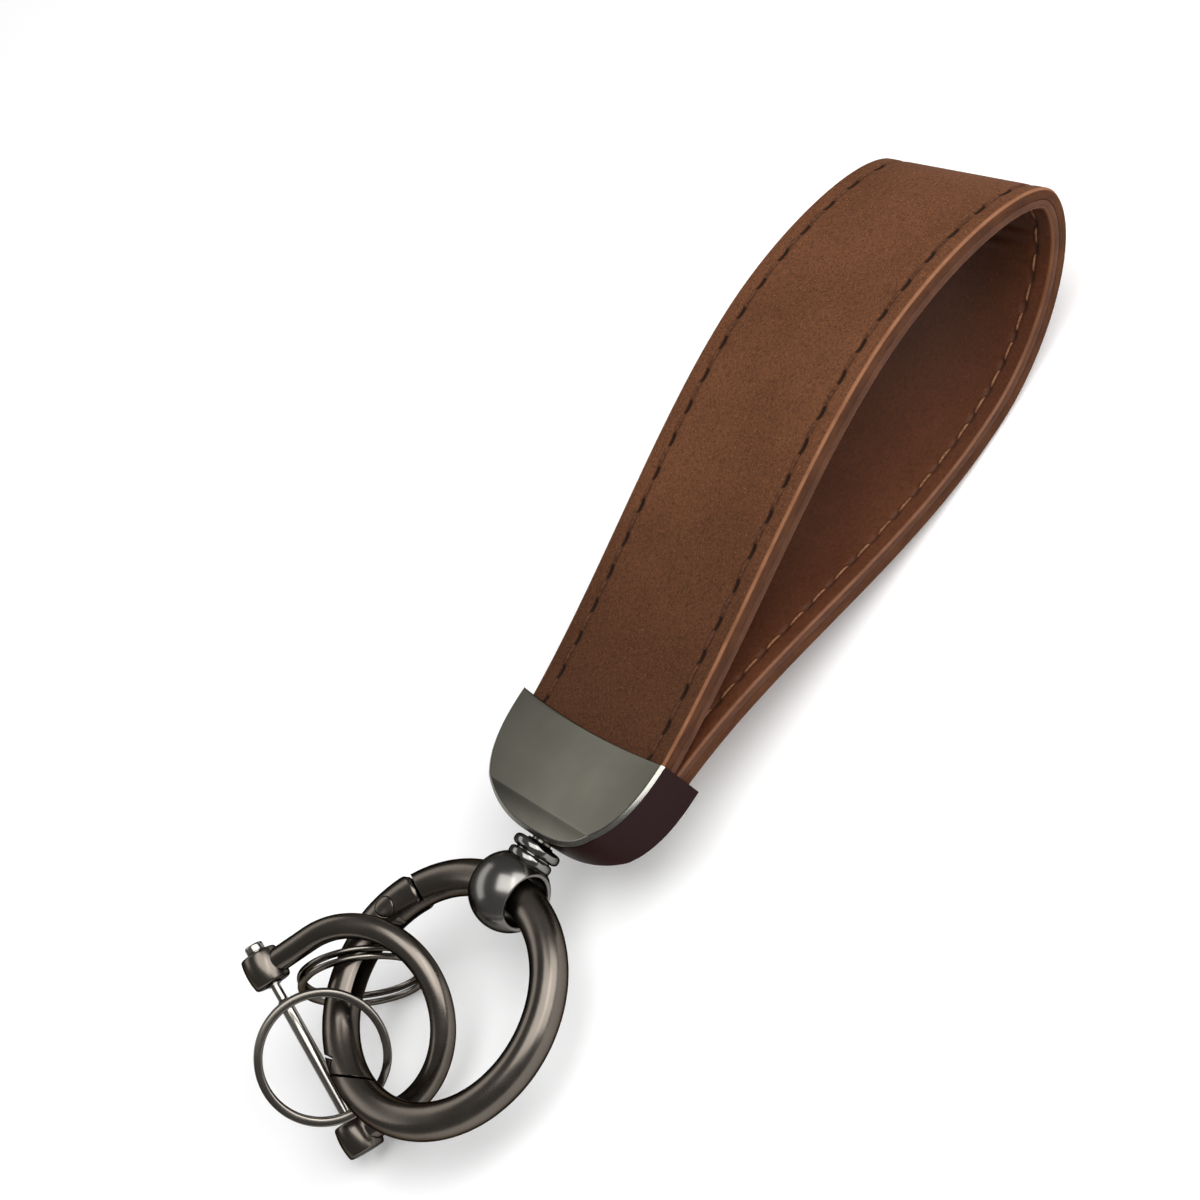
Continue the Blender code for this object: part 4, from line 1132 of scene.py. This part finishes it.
wire_metal = metal("wire_metal", (0.18, 0.163, 0.142), 0.22, (0.12, 0.11, 0.1))
pin_metal = metal("pin_metal", (0.34, 0.32, 0.29), 0.2, (0.2, 0.19, 0.18))

strap_layer("leather_outer", outer_leather, "strap_leather", 0.0, OUTER_THICKNESS + 0.1 * MM, True,
            *OUTER_STITCH, "strap_outer")
strap_layer("leather_lining", lining_leather, "lining_leather", OUTER_THICKNESS + 0.13 * MM,
            LINING_THICKNESS + 0.12 * MM, False, *LINING_STITCH, "strap_lining")
stitches("stitches_outer", thread_tan, 0.0, True, *OUTER_STITCH, 0.21 * MM, 3.1 * MM)
stitches("stitches_lining", thread_rust, OUTER_THICKNESS + LINING_THICKNESS + 0.25 * MM, False,
         *LINING_STITCH, 0.17 * MM, 2.9 * MM)
cap_piece(cap_metal)
ball_piece(ball_metal)
ring_piece(ring_metal)
gate_piece(ring_metal)
rivet_piece(ring_metal)
bow_piece(ring_metal)
bolt_piece(pin_metal)
split_piece("front", wire_metal)
split_piece("rear", wire_metal)
frame["nodes"]["swivel_pin"].data.materials.clear()
frame["nodes"]["swivel_pin"].data.materials.append(wire_metal)


# Floor, light and camera


def floor_material():
    """A white floor with a faint glow that diffuse light doesn't pick up."""
    made, tree, shader = nodes_of("floor_look")
    ray = tree.nodes.new("ShaderNodeLightPath").outputs
    seen = maths(tree, "MAXIMUM", ray["Is Camera Ray"], ray["Is Transmission Ray"])
    seen = maths(tree, "MAXIMUM", seen, ray["Is Glossy Ray"])
    feed(tree, shader, {"Base Color": (FLOOR_WHITE, FLOOR_WHITE, FLOOR_WHITE, 1),
                        "Roughness": 0.9, "Emission Color": (1, 1, 1, 1),
                        "Emission Strength": maths(tree, "MULTIPLY", seen, FLOOR_LIFT)})
    return made


def area(name, place, aim, size, power):
    data = bpy.data.lights.new(name, "AREA")
    data.shape = "RECTANGLE"
    data.size, data.size_y = size
    data.energy = power
    lamp = bpy.data.objects.new(name, data)
    bpy.context.scene.collection.objects.link(lamp)
    lamp.location = place
    lamp.rotation_euler = (Vector(aim) - Vector(place)).to_track_quat("-Z", "Y").to_euler()


bm = bmesh.new()
bmesh.ops.create_grid(bm, x_segments=4, y_segments=4, size=FLOOR_HALF)
mesh = bpy.data.meshes.new("floor")
bm.to_mesh(mesh)
bm.free()
mesh.materials.append(floor_material())
floor = bpy.data.objects.new("floor", mesh)
floor.location.z = FLOOR_HEIGHT
bpy.context.scene.collection.objects.link(floor)

area("key", (-0.11, 0.29, 0.65), (0.02, 0, 0.01), (0.6, 0.6), 4.0)
area("side", (-0.36, 0.47, 0.33), (0.03, 0, 0.01), (0.66, 0.5), 3.9)
area("back", (0.19, -0.505, 0.46), (0.02, 0, 0.01), (1.0, 0.3), 1.5)

world = bpy.data.worlds.new("world")
bpy.context.scene.world = world
world.use_nodes = True
feed(world.node_tree, world.node_tree.nodes["Background"],
     {"Color": (1, 1, 1, 1), "Strength": WORLD_STRENGTH})

camera_data = bpy.data.cameras.new("camera")
camera_data.sensor_width = CAMERA_SENSOR
camera_data.lens = CAMERA_LENS
camera_data.clip_start = 0.01
camera_data.clip_end = 20.0
camera = bpy.data.objects.new("camera", camera_data)
bpy.context.scene.collection.objects.link(camera)
view_axes = Matrix((CAMERA_RIGHT, CAMERA_UP, CAMERA_BACK)).transposed().to_4x4()
view_axes.translation = CAMERA_PLACE
camera.matrix_world = ROOT @ view_axes
bpy.context.scene.camera = camera
bpy.context.scene.view_settings.view_transform = "Standard"
